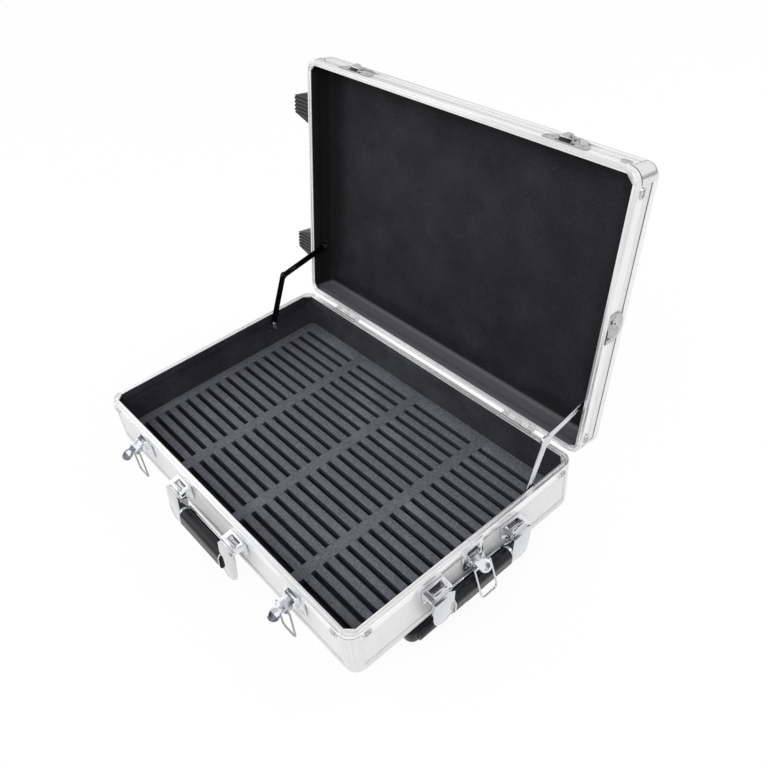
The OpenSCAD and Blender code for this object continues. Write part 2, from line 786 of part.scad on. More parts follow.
// Tabs beside the corners, each with a slotted screw in a recess
screw_r = 1.5;
screw_h = 1.5;
slot_t = 0.6;
tab_l = 12;
tab_w = 6.6;
tab_h = 1.8;
tab_floor = 0.6;
recess_l = 7.4;
recess_w = 4;
module wall_screws(z, inset) {
    for (i = [0:3], s = [-1, 1]) at_side(i) translate([s * (side_len(i) / 2 - inset), 0, z])
        rotate([90, 0, 0])
        difference() {
            union() {
                linear_extrude(tab_floor) rounded(tab_l, tab_w, tab_w / 2 - 0.01);
                linear_extrude(tab_h) difference() {
                    rounded(tab_l, tab_w, tab_w / 2 - 0.01);
                    rounded(recess_l, recess_w, recess_w / 2 - 0.01);
                }
                cylinder(h = screw_h, r = screw_r);
            }
            translate([-screw_r - over, -slot_t / 2, tab_floor + 0.3])
                cube([2 * (screw_r + over), slot_t, screw_h]);
        }
}
module base_screws() {
    color(chrome) raised() wall_screws(base_h - 7, tab_l / 2 + 1);
}
module lid_screws() {
    color(chrome) raised() as_lid() wall_screws(lid_h - 7, tab_l / 2 + 1);
}

// Pull handle and its tubes
module tube(w, h, t) {
    rotate([90, 0, 90]) linear_extrude(tube_l, center = false) difference() {
        rounded(w, h, 2);
        rounded(w - 2 * t, h - 2 * t, 1);
    }
}
tube_z = -tube_h / 2;
mid_w = tube_w - 2 * tube_t - 2 * tube_play;
mid_h = tube_h - 2 * tube_t - 2 * tube_play;
inner_w = mid_w - 2 * tube_t - 2 * tube_play;
inner_h = mid_h - 2 * tube_t - 2 * tube_play;
module outer_tubes() {
    color(silver) raised() for (s = [-1, 1]) translate([tube_x, s * tube_y, tube_z])
        tube(tube_w, tube_h, tube_t);
}
module middle_tubes() {
    color(silver) raised() for (s = [-1, 1]) translate([tube_x + mid_in, s * tube_y, tube_z])
        tube(mid_w, mid_h, tube_t);
}
module inner_tubes() {
    color(silver) raised() for (s = [-1, 1]) translate([tube_x + inner_in, s * tube_y, tube_z]) {
        tube(inner_w, inner_h, tube_t);
        translate([tube_l - over, 0, 0]) rotate([90, 0, 90])
            linear_extrude(over + pull_gap - inner_in + pull_socket)
            rounded(inner_w, inner_h, 2);
    }
}
block_l = 16;
block_in = 24;
block_side = 9;
block_floor = 2;
module tube_end_blocks() {
    wide = tube_w + 2 * block_side;
    color(black) raised() for (s = [-1, 1], x = [tube_x + block_in, tube_x + tube_l - block_l - 2])
        translate([x, s * tube_y, -tube_h - block_floor]) rotate([90, 0, 90]) linear_extrude(block_l)
            difference() {
            translate([-wide / 2, 0]) square([wide, tube_h + block_floor + skin_t]);
            translate([0, tube_h / 2 + block_floor]) rounded(tube_w, tube_h, 2);
            for (m = [0, 1]) mirror([m, 0]) translate([-wide / 2, 0]) rotate(-45)
                square([block_side, 5], center = true);
        }
}
pull_end_r = 10;
pull_nose_r = 5;
button_w = 8;
button_l = 30;
button_t = 5;
button_sunk = 4;
module pull_grip() {
    straight = pull_w - 2 * pull_end_r;
    color(black) raised() translate([pull_x, 0, pull_top - pull_h]) difference() {
        union() {
            translate([0, -straight / 2, 0]) cube([pull_d - pull_nose_r, straight, pull_h]);
            translate([0, -straight / 2, pull_nose_r]) cube([pull_d, straight, pull_h - 2 * pull_nose_r]);
            for (z = [pull_nose_r, pull_h - pull_nose_r]) translate([pull_d - pull_nose_r, -straight / 2, z])
                rotate([-90, 0, 0]) cylinder(h = straight, r = pull_nose_r);
            for (s = [-1, 1]) translate([pull_end_r, s * straight / 2, 0])
                cylinder(h = pull_h, r = pull_end_r);
        }
        for (s = [-1, 1]) translate([-over, s * tube_y, tube_z - pull_top + pull_h]) rotate([90, 0, 90])
            linear_extrude(over + pull_socket) rounded(inner_w, inner_h, 2);
        translate([pull_d - 2 * button_sunk, 0, pull_h / 2]) rotate([0, 90, 0])
            linear_extrude(2 * button_sunk + over) rounded(button_w + 2 * play, button_l + 2 * play, 3);
    }
}
module release_button() {
    color([0.2, 0.2, 0.22]) raised() translate([pull_x + pull_d - button_sunk, 0, pull_top - pull_h / 2])
        rotate([0, 90, 0])
        linear_extrude(button_t) rounded(button_w, button_l, 3);
}

// Wheels
cheek_t = 3;
hub_r = 8;
housing_up = 36;
housing_in = 34;
module housing_side() {
    wall = -case_l / 2;
    difference() {
        union() {
            translate([axle_x, axle_z]) circle(hub_r);
            polygon([[axle_x - 7.4, axle_z + 3], [wall - 5, axle_z + housing_up - 2],
                [wall, axle_z + housing_up],
                     [wall, base_edge_r], [wall + housing_in - 4, 0], [wall + housing_in, 0],
                     [wall + housing_in, -3], [wall + 4, -12], [axle_x + 4, axle_z - 6.9]]);
        }
        translate([wall, 0]) quarter_block(case_l / 4, base_h, base_edge_r);
    }
}
module housing_slice(y0, y1) {
    translate([0, y1, 0]) rotate([90, 0, 0]) linear_extrude(y1 - y0) children();
}
module wheel_housings() {
    half = wheel_w / 2 + 1;
    color(black) raised() for (s = [-1, 1]) translate([0, s * wheel_y, 0]) difference() {
        union() {
            for (y = [-half - cheek_t, half]) housing_slice(y, y + cheek_t) housing_side();
            housing_slice(-half - over, half + over) difference() {
                housing_side();
                translate([axle_x, axle_z]) circle(wheel_d / 2 + 1.5);
            }
        }
        translate([axle_x, half + cheek_t + over, axle_z]) rotate([90, 0, 0])
            cylinder(h = 2 * (half + cheek_t + over), r = axle_r);
    }
}
module wheel_axles() {
    l = wheel_w + 2 + 2 * cheek_t;
    color(chrome) raised() for (s = [-1, 1]) translate([axle_x, s * wheel_y + l / 2, axle_z])
        rotate([90, 0, 0]) cylinder(h = l, r = axle_r);
}
hub_t = 4;
tyre_t = 6;
web_w = wheel_w - 8;
tread_w = wheel_w - 4;
module wheel(s) {
    reach = wheel_d / 2;
    color(black) raised() translate([axle_x, s * wheel_y, axle_z]) rotate([90, 0, 0]) rotate_extrude() {
        translate([axle_r + pin_play, -wheel_w / 2]) square([hub_t, wheel_w]);
        translate([axle_r + pin_play, -web_w / 2]) square([reach - tyre_t + 1 - axle_r, web_w]);
        translate([reach - tyre_t, -tread_w / 2]) square([tyre_t, tread_w]);
        translate([reach - tyre_t, -wheel_w / 2]) square([tyre_t - 2, wheel_w]);
    }
}
module front_wheel() {
    wheel(-1);
}
module rear_wheel() {
    wheel(1);
}

// Strap and pads under the tubes that the case rests on
rest_w = 30;
pad_r = 7;
pad_in = 40;
module rest_pads() {
    color(black) raised() translate([0, 0, -ground_gap]) {
        linear_extrude(ground_gap - tube_h) rounded(rest_w, 2 * tube_y + tube_w, 4);
        for (s = [-1, 1]) translate([tube_x + tube_l - pad_in, s * tube_y, 0])
            cylinder(h = ground_gap - tube_h, r = pad_r);
    }
}

// Ribbed feet on the lid's left wall, level with the wheels when the case stands up
foot_root = 42;
foot_tip = 22.5;
foot_h = 22;
foot_skirt = 6;
foot_ribs = 4;
rib_cut = 1.6;
module standing_feet() {
    low = lid_rim_z + 6;
    color(charcoal) raised() opened() for (s = [-1, 1]) translate([-case_l / 2, s * wheel_y, low])
        difference() {
        linear_extrude(foot_h)
            polygon([[0, -foot_root / 2], [0, foot_root / 2], [-foot_skirt, foot_root / 2 - 1],
                     [-foot_l, foot_tip / 2], [-foot_l, -foot_tip / 2], [-foot_skirt, -foot_root / 2 + 1]]);
        for (i = [0:foot_ribs], z = [-over, foot_h - rib_cut])
            translate([-foot_l - over, (i - foot_ribs / 2) * foot_tip / (foot_ribs + 0.6) - rib_cut / 2, z])
                cube([foot_l - 4, rib_cut, rib_cut + over]);
    }
}

// Lid shell
module lid_top() {
    color(panel_white) raised() as_lid() shell_floor(lid_edge_r);
}
module lid_front_panel() {
    color(panel_white) raised() as_lid() shell_panel(FRONT, lid_h, lid_edge_r);
}
module lid_right_panel() {
    color(panel_white) raised() as_lid() shell_panel(RIGHT, lid_h, lid_edge_r);
}
module lid_back_panel() {
    color(panel_white) raised() as_lid() shell_panel(BACK, lid_h, lid_edge_r);
}
module lid_left_panel() {
    color(panel_white) raised() as_lid() shell_panel(LEFT, lid_h, lid_edge_r);
}
module lid_rim() {
    color(silver) raised() difference() {
        as_lid() shell_rim(lid_h, true);
        opened() hinge_seats(base_h - over, base_h + leaf_t + play);
    }
}
module lid_edges() {
    color(silver) raised() as_lid() shell_edges(lid_edge_r);
}
module lid_corners() {
    color(silver) raised() as_lid() shell_corners(lid_h, lid_edge_r, true);
}
module lid_rim_clips() {
    color(chrome) raised() as_lid() shell_clips(lid_h);
}
module lid_lining() {
    color(charcoal) raised() as_lid() shell_lining(lid_h, lid_edge_r);
}

base_floor();
base_front_panel();
base_right_panel();
base_back_panel();
base_left_panel();
base_rim();
base_edges();
base_corners();
base_rim_clips();
base_lining();
tray_base();
tray_bands();
tray_ribs();
hinge_base_leaves();
hinge_pins();
latch_plates();
front_handle_brackets();
side_handle_brackets();
stay_base_plates();
base_screws();
outer_tubes();
tube_end_blocks();
wheel_housings();
wheel_axles();
rest_pads();
lid_top();
lid_front_panel();
lid_right_panel();
lid_back_panel();
lid_left_panel();
lid_rim();
lid_edges();
lid_corners();
lid_rim_clips();
lid_lining();
latch_keepers();
standing_feet();
hinge_lid_leaves();
stay_lid_plates();
lid_screws();
front_left_lever();
front_right_lever();
side_lever();
front_left_bail();
front_right_bail();
side_bail();
front_handle_arms();
front_handle_grip();
side_handle_arms();
side_handle_grip();
left_lower_stay();
left_upper_stay();
right_lower_stay();
right_upper_stay();
middle_tubes();
inner_tubes();
pull_grip();
release_button();
front_wheel();
rear_wheel();
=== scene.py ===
import bpy
import json
import math
from mathutils import Matrix, Vector


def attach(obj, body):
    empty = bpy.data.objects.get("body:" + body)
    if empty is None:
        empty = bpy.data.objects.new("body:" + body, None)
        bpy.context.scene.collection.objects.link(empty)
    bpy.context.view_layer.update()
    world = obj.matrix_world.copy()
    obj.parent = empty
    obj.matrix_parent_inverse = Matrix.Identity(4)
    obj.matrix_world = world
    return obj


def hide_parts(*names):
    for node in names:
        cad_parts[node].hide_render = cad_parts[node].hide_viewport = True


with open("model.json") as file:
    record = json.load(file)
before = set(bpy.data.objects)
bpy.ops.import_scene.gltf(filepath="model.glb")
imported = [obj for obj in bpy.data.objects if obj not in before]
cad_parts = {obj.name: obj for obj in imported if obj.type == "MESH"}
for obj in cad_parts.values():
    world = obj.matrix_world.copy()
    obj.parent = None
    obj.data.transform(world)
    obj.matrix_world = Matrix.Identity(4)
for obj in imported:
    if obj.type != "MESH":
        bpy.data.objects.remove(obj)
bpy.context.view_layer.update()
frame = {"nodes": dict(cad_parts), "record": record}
nodes = frame["nodes"]
print("case frame loaded:", len(nodes), "nodes")

mm = 0.001

# millimetres and degrees, with heights from the base's underside
caseValues = {
    "length": 492.0, "width": 327.0, "baseHeight": 72.0, "lidHeight": 41.0,
    "cornerRadius": 15.0, "rimWidth": 7.0, "rimDepth": 12.0, "rimGap": 0.4,
    "groundGap": 20.0, "hingeY": 165.8, "hingeZ": 69.67, "lidOpen": 98.62,
}

cameraValues = {
    "place": (0.6012, -0.3604, 0.7446),   # metres from the middle of the floor under the case
    "azimuth": 52.74,
    "elevation": 40.601,
    "roll": -6.072,
    "lens": 37.21,
    "sensor": 36,
    "clipStart": 0.01,
}


def placeCamera(values):
    a = math.radians(values["azimuth"])
    e = math.radians(values["elevation"])
    r = math.radians(values["roll"])
    back = Vector((math.sin(a) * math.cos(e), -math.cos(a) * math.cos(e), math.sin(e)))
    side = Vector((math.cos(a), math.sin(a), 0))
    up = back.cross(side)
    sideTurned = side * math.cos(r) + up * math.sin(r)
    upTurned = up * math.cos(r) - side * math.sin(r)
    turn = Matrix((sideTurned, upTurned, back)).transposed().to_4x4()
    data = bpy.data.cameras.new("photoCamera")
    data.lens = values["lens"]
    data.sensor_width = values["sensor"]
    data.clip_start = values["clipStart"]
    camera = bpy.data.objects.new("photoCamera", data)
    bpy.context.collection.objects.link(camera)
    camera.matrix_world = Matrix.Translation(values["place"]) @ turn
    bpy.context.scene.camera = camera


placeCamera(cameraValues)
print("camera placed")


def newMaterial(name):
    mat = bpy.data.materials.new(name)
    mat.use_nodes = True
    tree = mat.node_tree
    coords = tree.nodes.new("ShaderNodeTexCoord")
    return mat, tree, tree.nodes["Principled BSDF"], coords.outputs["Object"]


def addNode(tree, kind, **values):
    node = tree.nodes.new(kind)
    for key, value in values.items():
        if hasattr(node, key):
            setattr(node, key, value)
        else:
            node.inputs[key].default_value = value
    return node


def feed(tree, socket, value):
    # a number or a colour is set, and another node's output is linked
    if isinstance(value, (int, float)):
        socket.default_value = value
    elif isinstance(value, tuple):
        socket.default_value = (*value, 1)
    else:
        tree.links.new(value, socket)


def addMath(tree, operation, *terms, clamp=False):
    node = addNode(tree, "ShaderNodeMath", operation=operation, use_clamp=clamp)
    for socket, term in zip(node.inputs, terms):
        feed(tree, socket, term)
    return node.outputs["Value"]


def addNoise(tree, vector, **values):
    node = addNode(tree, "ShaderNodeTexNoise", **values)
    tree.links.new(vector, node.inputs["Vector"])
    return node.outputs["Fac"]


def splitAxes(tree, vector):
    node = tree.nodes.new("ShaderNodeSeparateXYZ")
    tree.links.new(vector, node.inputs["Vector"])
    return node.outputs


def toRange(tree, value, low, high, start=0.0, stop=1.0, kind="LINEAR"):
    node = addNode(tree, "ShaderNodeMapRange", interpolation_type=kind)
    for label, number in (("From Min", start), ("From Max", stop), ("To Min", low), ("To Max", high)):
        node.inputs[label].default_value = number
    tree.links.new(value, node.inputs["Value"])
    return node.outputs["Result"]


def fade(tree, value, start, stop):
    return toRange(tree, value, 0.0, 1.0, start, stop, "SMOOTHSTEP")


def mixColours(tree, factor, low, high):
    node = addNode(tree, "ShaderNodeMix", data_type="RGBA")
    for number, value in ((0, factor), (6, low), (7, high)):
        feed(tree, node.inputs[number], value)
    return node.outputs[2]


def mixNumbers(tree, factor, low, high):
    node = addNode(tree, "ShaderNodeMix", data_type="FLOAT")
    for number, value in ((0, factor), (2, low), (3, high)):
        feed(tree, node.inputs[number], value)
    return node.outputs[0]


def addBump(tree, shader, height, strength, distance):
    bump = addNode(tree, "ShaderNodeBump", Strength=strength, Distance=distance)
    tree.links.new(height, bump.inputs["Height"])
    tree.links.new(bump.outputs["Normal"], shader.inputs["Normal"])


def newGroup(name, inputs, outputs):
    tree = bpy.data.node_groups.new(name, "ShaderNodeTree")
    for label, kind, value in inputs:
        socket = tree.interface.new_socket(label, in_out="INPUT", socket_type=kind)
        if value is not None:
            socket.default_value = value
    for label, kind in outputs:
        tree.interface.new_socket(label, in_out="OUTPUT", socket_type=kind)
    return tree, tree.nodes.new("NodeGroupInput"), tree.nodes.new("NodeGroupOutput")


def useGroup(tree, group, vector, **values):
    node = tree.nodes.new("ShaderNodeGroup")
    node.node_tree = group
    tree.links.new(vector, node.inputs["Vector"])
    for key, value in values.items():
        node.inputs[key].default_value = value
    return node


patternValues = {
    "lineNoise": {"Scale": 1.0, "Detail": 4.0, "Roughness": 0.6},
    "lineContrast": (0.25, 0.75),
    "patchNoise": {"Scale": 14.0, "Detail": 3.0, "Roughness": 0.55},
    "warpNoise": {"Scale": 5.0, "Detail": 2.0},
    "warpReach": (0.05, 0.05, 0.05),
    "cloudNoise": {"Detail": 6.0, "Roughness": 0.62},
    "cloudFade": (0.5, 0.78),
    "speckNoise": {"Detail": 3.0, "Roughness": 0.7},
}


def buildBrushing():
    # long fine lines along one axis: Stretch is the scale of the pattern per axis
    tree, start, end = newGroup(
        "brushedLines",
        [("Vector", "NodeSocketVector", None), ("Stretch", "NodeSocketVector", (8, 900, 900))],
        [("Lines", "NodeSocketFloat"), ("Patches", "NodeSocketFloat")],
    )
    scaled = addNode(tree, "ShaderNodeVectorMath", operation="MULTIPLY")
    tree.links.new(start.outputs["Vector"], scaled.inputs[0])
    tree.links.new(start.outputs["Stretch"], scaled.inputs[1])
    lines = addNoise(tree, scaled.outputs["Vector"], **patternValues["lineNoise"])
    patches = addNoise(tree, start.outputs["Vector"], **patternValues["patchNoise"])
    clear = toRange(tree, lines, 0.0, 1.0, *patternValues["lineContrast"])
    tree.links.new(clear, end.inputs["Lines"])
    tree.links.new(patches, end.inputs["Patches"])
    return tree


def buildScuffs():
    # sparse cloudy patches where a surface is rubbed or dusty
    tree, start, end = newGroup(
        "scuffsAndDust",
        [("Vector", "NodeSocketVector", None), ("Scale", "NodeSocketFloat", 9.0),
         ("Amount", "NodeSocketFloat", 0.5)],
        [("Mask", "NodeSocketFloat")],
    )
    warp = addNode(tree, "ShaderNodeTexNoise", **patternValues["warpNoise"])
    bent = addNode(tree, "ShaderNodeVectorMath", operation="MULTIPLY_ADD")
    bent.inputs[1].default_value = patternValues["warpReach"]
    cloud = addNode(tree, "ShaderNodeTexNoise", **patternValues["cloudNoise"])
    tree.links.new(start.outputs["Vector"], warp.inputs["Vector"])
    tree.links.new(warp.outputs["Color"], bent.inputs[0])
    tree.links.new(start.outputs["Vector"], bent.inputs[2])
    tree.links.new(bent.outputs["Vector"], cloud.inputs["Vector"])
    tree.links.new(start.outputs["Scale"], cloud.inputs["Scale"])
    marks = fade(tree, cloud.outputs["Fac"], *patternValues["cloudFade"])
    tree.links.new(addMath(tree, "MULTIPLY", marks, start.outputs["Amount"]), end.inputs["Mask"])
    return tree


def buildGrain():
    # fine pebbled grain: cells broken up by noise
    tree, start, end = newGroup(
        "fineGrain",
        [("Vector", "NodeSocketVector", None), ("Scale", "NodeSocketFloat", 900.0)],
        [("Height", "NodeSocketFloat"), ("Tone", "NodeSocketFloat")],
    )
    cells = addNode(tree, "ShaderNodeTexVoronoi", feature="F1")
    speck = addNode(tree, "ShaderNodeTexNoise", **patternValues["speckNoise"])
    for texture in (cells, speck):
        tree.links.new(start.outputs["Vector"], texture.inputs["Vector"])
        tree.links.new(start.outputs["Scale"], texture.inputs["Scale"])
    height = addMath(tree, "MULTIPLY", cells.outputs["Distance"], speck.outputs["Fac"])
    tree.links.new(height, end.inputs["Height"])
    tree.links.new(speck.outputs["Fac"], end.inputs["Tone"])
    return tree


brushedLines = buildBrushing()
scuffsAndDust = buildScuffs()
fineGrain = buildGrain()


def shutCoordinates(tree, coords):
    # the open lid's points, turned back to where they lie when it is shut
    angle = math.radians(caseValues["lidOpen"])
    y = caseValues["hingeY"] * mm
    z = (caseValues["hingeZ"] + caseValues["groundGap"]) * mm
    turned = addNode(tree, "ShaderNodeMapping")
    turned.inputs["Rotation"].default_value = (angle, 0, 0)
    turned.inputs["Location"].default_value = (
        0,
        y - (y * math.cos(angle) - z * math.sin(angle)),
        z - (y * math.sin(angle) + z * math.cos(angle)),
    )
    tree.links.new(coords, turned.inputs["Vector"])
    return turned.outputs["Vector"]


# metals with a drawn or brushed grain
brushedValues = {
    "rim": {"name": "satinAluminium", "low": (0.87, 0.875, 0.88), "high": (0.955, 0.955, 0.96),
            "rough": (0.24, 0.38), "metallic": 0.75, "bump": 0.08},
    "lidRim": {"name": "satinAluminiumLid", "low": (0.81, 0.815, 0.82), "high": (0.905, 0.905, 0.91),
               "rough": (0.24, 0.38), "metallic": 0.75, "bump": 0.08, "onLid": True},
    "edge": {"name": "edgeMoulding", "low": (0.655, 0.658, 0.662), "high": (0.755, 0.758, 0.762),
             "rough": (0.36, 0.52), "metallic": 0.5, "bump": 0.10},
    "corner": {"name": "polishedCorner", "low": (0.70, 0.705, 0.71), "high": (0.84, 0.845, 0.85),
               "rough": (0.10, 0.18), "metallic": 1.0, "bump": 0.05, "upright": True},
    "hinge": {"name": "hingeSteel", "low": (0.74, 0.745, 0.75), "high": (0.86, 0.865, 0.87),
              "rough": (0.44, 0.58), "metallic": 0.7, "bump": 0.06},
    "lip": {"name": "satinLip", "low": (0.84, 0.845, 0.85), "high": (0.93, 0.93, 0.935),
            "rough": (0.34, 0.50), "metallic": 0.9, "bump": 0.03},
    "tube": {"name": "tubeAluminium", "low": (0.60, 0.605, 0.61), "high": (0.73, 0.735, 0.74),
             "rough": (0.26, 0.40), "metallic": 0.9, "bump": 0.10},
    "panel": {"name": "brushedPanel", "low": (0.735, 0.738, 0.742), "high": (0.812, 0.815, 0.82),
              "rough": (0.40, 0.56), "metallic": 0.4, "bump": 0.12, "upright": True},
}

brushValues = {
    "alongX": (6, 900, 900), "alongY": (900, 6, 900), "upright": (900, 900, 12),
    "endWalls": 0.2315,   # metres from the middle to where the end walls' mouldings start
    "wear": {"Scale": 22.0, "Amount": 0.6},
    "bumpDepth": 0.0002,
}


def buildBrushed(values):
    mat, tree, shader, coords = newMaterial(values["name"])
    if values.get("onLid"):
        coords = shutCoordinates(tree, coords)
    stretches = ("upright", "upright") if values.get("upright") else ("alongX", "alongY")
    first, second = (useGroup(tree, brushedLines, coords, Stretch=brushValues[s]) for s in stretches)
    reach = addMath(tree, "ABSOLUTE", splitAxes(tree, coords)["X"])
    atEnd = addMath(tree, "GREATER_THAN", reach, brushValues["endWalls"])
    lines = mixNumbers(tree, atEnd, first.outputs["Lines"], second.outputs["Lines"])
    wear = useGroup(tree, scuffsAndDust, coords, **brushValues["wear"])
    tone = addMath(tree, "SUBTRACT", lines, wear.outputs["Mask"], clamp=True)
    tree.links.new(mixColours(tree, tone, values["low"], values["high"]), shader.inputs["Base Color"])
    rough = toRange(tree, first.outputs["Patches"], *values["rough"])
    tree.links.new(rough, shader.inputs["Roughness"])
    addBump(tree, shader, lines, values["bump"], brushValues["bumpDepth"])
    shader.inputs["Metallic"].default_value = values["metallic"]
    return mat


# plated and painted steel, with its marks in the low colour; the tip, stay and dimple colours are painted
# reflection and painted shade
platedValues = {
    "chrome": {"name": "platedChrome", "low": (0.50, 0.51, 0.53), "high": (0.66, 0.67, 0.685)},
    "keeperSteel": {"name": "keeperSteel", "low": (0.28, 0.28, 0.29), "high": (0.48, 0.485, 0.495)},
    "plateSteel": {"name": "plateSteel", "low": (0.62, 0.63, 0.65), "high": (0.80, 0.81, 0.83),
                   "rough": (0.20, 0.32)},
    "leverSteel": {"name": "leverSteel", "low": (0.36, 0.37, 0.405), "high": (0.52, 0.53, 0.575),
                   "rough": (0.10, 0.22)},
    "wireSteel": {"name": "wireSteel", "low": (0.20, 0.205, 0.21), "high": (0.36, 0.365, 0.37)},
    # painted reflection: the dark surroundings mirrored in the levers' curled tips
    "tipDarkReflection": {"name": "tipDarkReflection", "low": (0.055, 0.06, 0.072), "high": (0.12, 0.127, 0.145)},
    # painted reflection: the left stay is chrome like the right one, painted near black for the dark lining
    # it mirrors
    "stayDarkReflection": {"name": "stayDarkReflection", "low": (0.012, 0.012, 0.013), "high": (0.035, 0.035, 0.037)},
    # painted shade: darker steel for the floor of the tab recesses round the screws
    "dimpleShade": {"name": "dimpleShadeSteel", "low": (0.42, 0.42, 0.43), "high": (0.60, 0.60, 0.615)},
}

platingValues = {
    "rough": (0.08, 0.20), "marks": {"Scale": 140.0, "Amount": 0.5},
    "ripple": {"Scale": 110.0, "Detail": 1.0}, "rippleStrength": 0.10, "rippleDepth": 0.0004,
}


def buildPlated(values):
    mat, tree, shader, coords = newMaterial(values["name"])
    marks = useGroup(tree, scuffsAndDust, coords, **platingValues["marks"]).outputs["Mask"]
    tree.links.new(mixColours(tree, marks, values["high"], values["low"]), shader.inputs["Base Color"])
    rough = toRange(tree, marks, *values.get("rough", platingValues["rough"]))
    tree.links.new(rough, shader.inputs["Roughness"])
    ripple = addNoise(tree, coords, **platingValues["ripple"])
    addBump(tree, shader, ripple, platingValues["rippleStrength"], platingValues["rippleDepth"])
    shader.inputs["Metallic"].default_value = 1.0
    return mat


plasticValues = {
    # painted shade: near black for the slots, windows, openings, seams and gaps it is put in
    "recess": {"name": "shadedRecess", "low": (0.004, 0.004, 0.005), "high": (0.030, 0.031, 0.034),
               "rough": (0.35, 0.6), "grain": 900.0, "bump": 0.1,
               "scuffs": {"Scale": 60.0, "Amount": 0.5}, "specular": 0.3},
    "grip": {"name": "gripPlastic", "low": (0.0045, 0.005, 0.0068), "high": (0.018, 0.0195, 0.0245),
             "rough": (0.26, 0.40), "grain": 1300.0, "bump": 0.14,
             "scuffs": {"Scale": 40.0, "Amount": 0.5}, "specular": 0.3},
    "foot": {"name": "footPlastic", "low": (0.010, 0.010, 0.012), "high": (0.036, 0.036, 0.040),
             "rough": (0.42, 0.60), "grain": 1200.0, "bump": 0.25,
             "scuffs": {"Scale": 30.0, "Amount": 0.6}, "specular": 0.4},
    "tyre": {"name": "tyreRubber", "low": (0.010, 0.010, 0.010), "high": (0.034, 0.033, 0.032),
             "rough": (0.62, 0.85), "grain": 1100.0, "bump": 0.35,
             "scuffs": {"Scale": 50.0, "Amount": 0.8}, "specular": 0.3},
}

mouldedValues = {"grainTone": (-0.12, 0.32), "bumpDepth": 0.0004}


def buildPlastic(values):
    mat, tree, shader, coords = newMaterial(values["name"])
    marks = useGroup(tree, scuffsAndDust, coords, **values["scuffs"]).outputs["Mask"]
    grain = useGroup(tree, fineGrain, coords, Scale=values["grain"])
    speckle = toRange(tree, grain.outputs["Tone"], *mouldedValues["grainTone"])
    tone = addMath(tree, "ADD", marks, speckle, clamp=True)
    tree.links.new(mixColours(tree, tone, values["low"], values["high"]), shader.inputs["Base Color"])
    tree.links.new(toRange(tree, marks, *values["rough"]), shader.inputs["Roughness"])
    addBump(tree, shader, grain.outputs["Height"], values["bump"], mouldedValues["bumpDepth"])
    shader.inputs["Specular IOR Level"].default_value = values["specular"]
    return mat


foamValues = {
    "skin": ((0.080, 0.083, 0.098), (0.236, 0.244, 0.273)), "slotShade": (0.052, 0.054, 0.068),
    "topHeight": 0.0409, "fade": 0.0016, "scuffs": {"Scale": 14.0, "Amount": 0.35},
    "speckle": 620.0, "speckleTone": (-0.85, 1.45), "rough": 0.92, "specular": 0.15,
    "bump": 0.5, "bumpDepth": 0.0006,
}


def buildFoam(values):
    # pale speckled skin on top; painted shade makes it near black down in the slots
    mat, tree, shader, coords = newMaterial("denseFoam")
    marks = useGroup(tree, scuffsAndDust, coords, **values["scuffs"]).outputs["Mask"]
    grain = useGroup(tree, fineGrain, coords, Scale=values["speckle"])
    speckle = toRange(tree, grain.outputs["Tone"], *values["speckleTone"])
    skin = mixColours(tree, addMath(tree, "ADD", marks, speckle, clamp=True), *values["skin"])
    # painted shade: below the ribs' top the foam fades to the darker slot colour
    top = values["topHeight"]
    onTop = fade(tree, splitAxes(tree, coords)["Z"], top - values["fade"], top)
    tree.links.new(mixColours(tree, onTop, values["slotShade"], skin), shader.inputs["Base Color"])
    shader.inputs["Roughness"].default_value = values["rough"]
    shader.inputs["Specular IOR Level"].default_value = values["specular"]
    addBump(tree, shader, grain.outputs["Height"], values["bump"], values["bumpDepth"])
    return mat


# one lining board in two copies: the base's is painted about twice as light as the lid's, as painted light
liningValues = {
    "base": {"name": "liningBoard", "low": (0.012, 0.0125, 0.0155), "high": (0.060, 0.062, 0.073),
             "edgeShade": 0.0},
    "lid": {"name": "liningBoardLid", "low": (0.0052, 0.0053, 0.0068), "high": (0.031, 0.032, 0.0385),
            "edgeShade": 0.45},
}

napValues = {
    "cloud": {"Scale": 7.0, "Amount": 0.75}, "broad": {"Scale": 16.0, "Detail": 5.0, "Roughness": 0.65},
    "broadTone": (-0.35, 0.85), "nap": 430.0, "napTone": (-0.5, 0.6),
    "scratchTurn": (0.35, math.radians(24.0), 0.6), "scratchStretch": (2.2, 240.0, 240.0),
    "scratch": {"Scale": 1.0, "Detail": 1.0}, "scratchFade": (0.74, 0.80), "scratchTone": 0.35,
    "edgeX": (0.200, 0.236), "edgeY": (0.122, 0.154),
    # painted light: where the lighter band on the lid's hinge wall starts, and its colour
    "litBandFrom": (0.1530, 0.1566), "litBandColour": (0.105, 0.107, 0.120),
    "rough": 0.78, "specular": 0.22, "sheen": 0.05, "bump": 0.35, "bumpDepth": 0.0004,
}


def edgeMask(tree, coords, edgeX, edgeY):
    # 0 in the middle of a board, 1 along its edges
    axes = splitAxes(tree, coords)
    masks = [fade(tree, addMath(tree, "ABSOLUTE", axes[axis]), *span)
             for axis, span in (("X", edgeX), ("Y", edgeY))]
    return addMath(tree, "MAXIMUM", *masks)


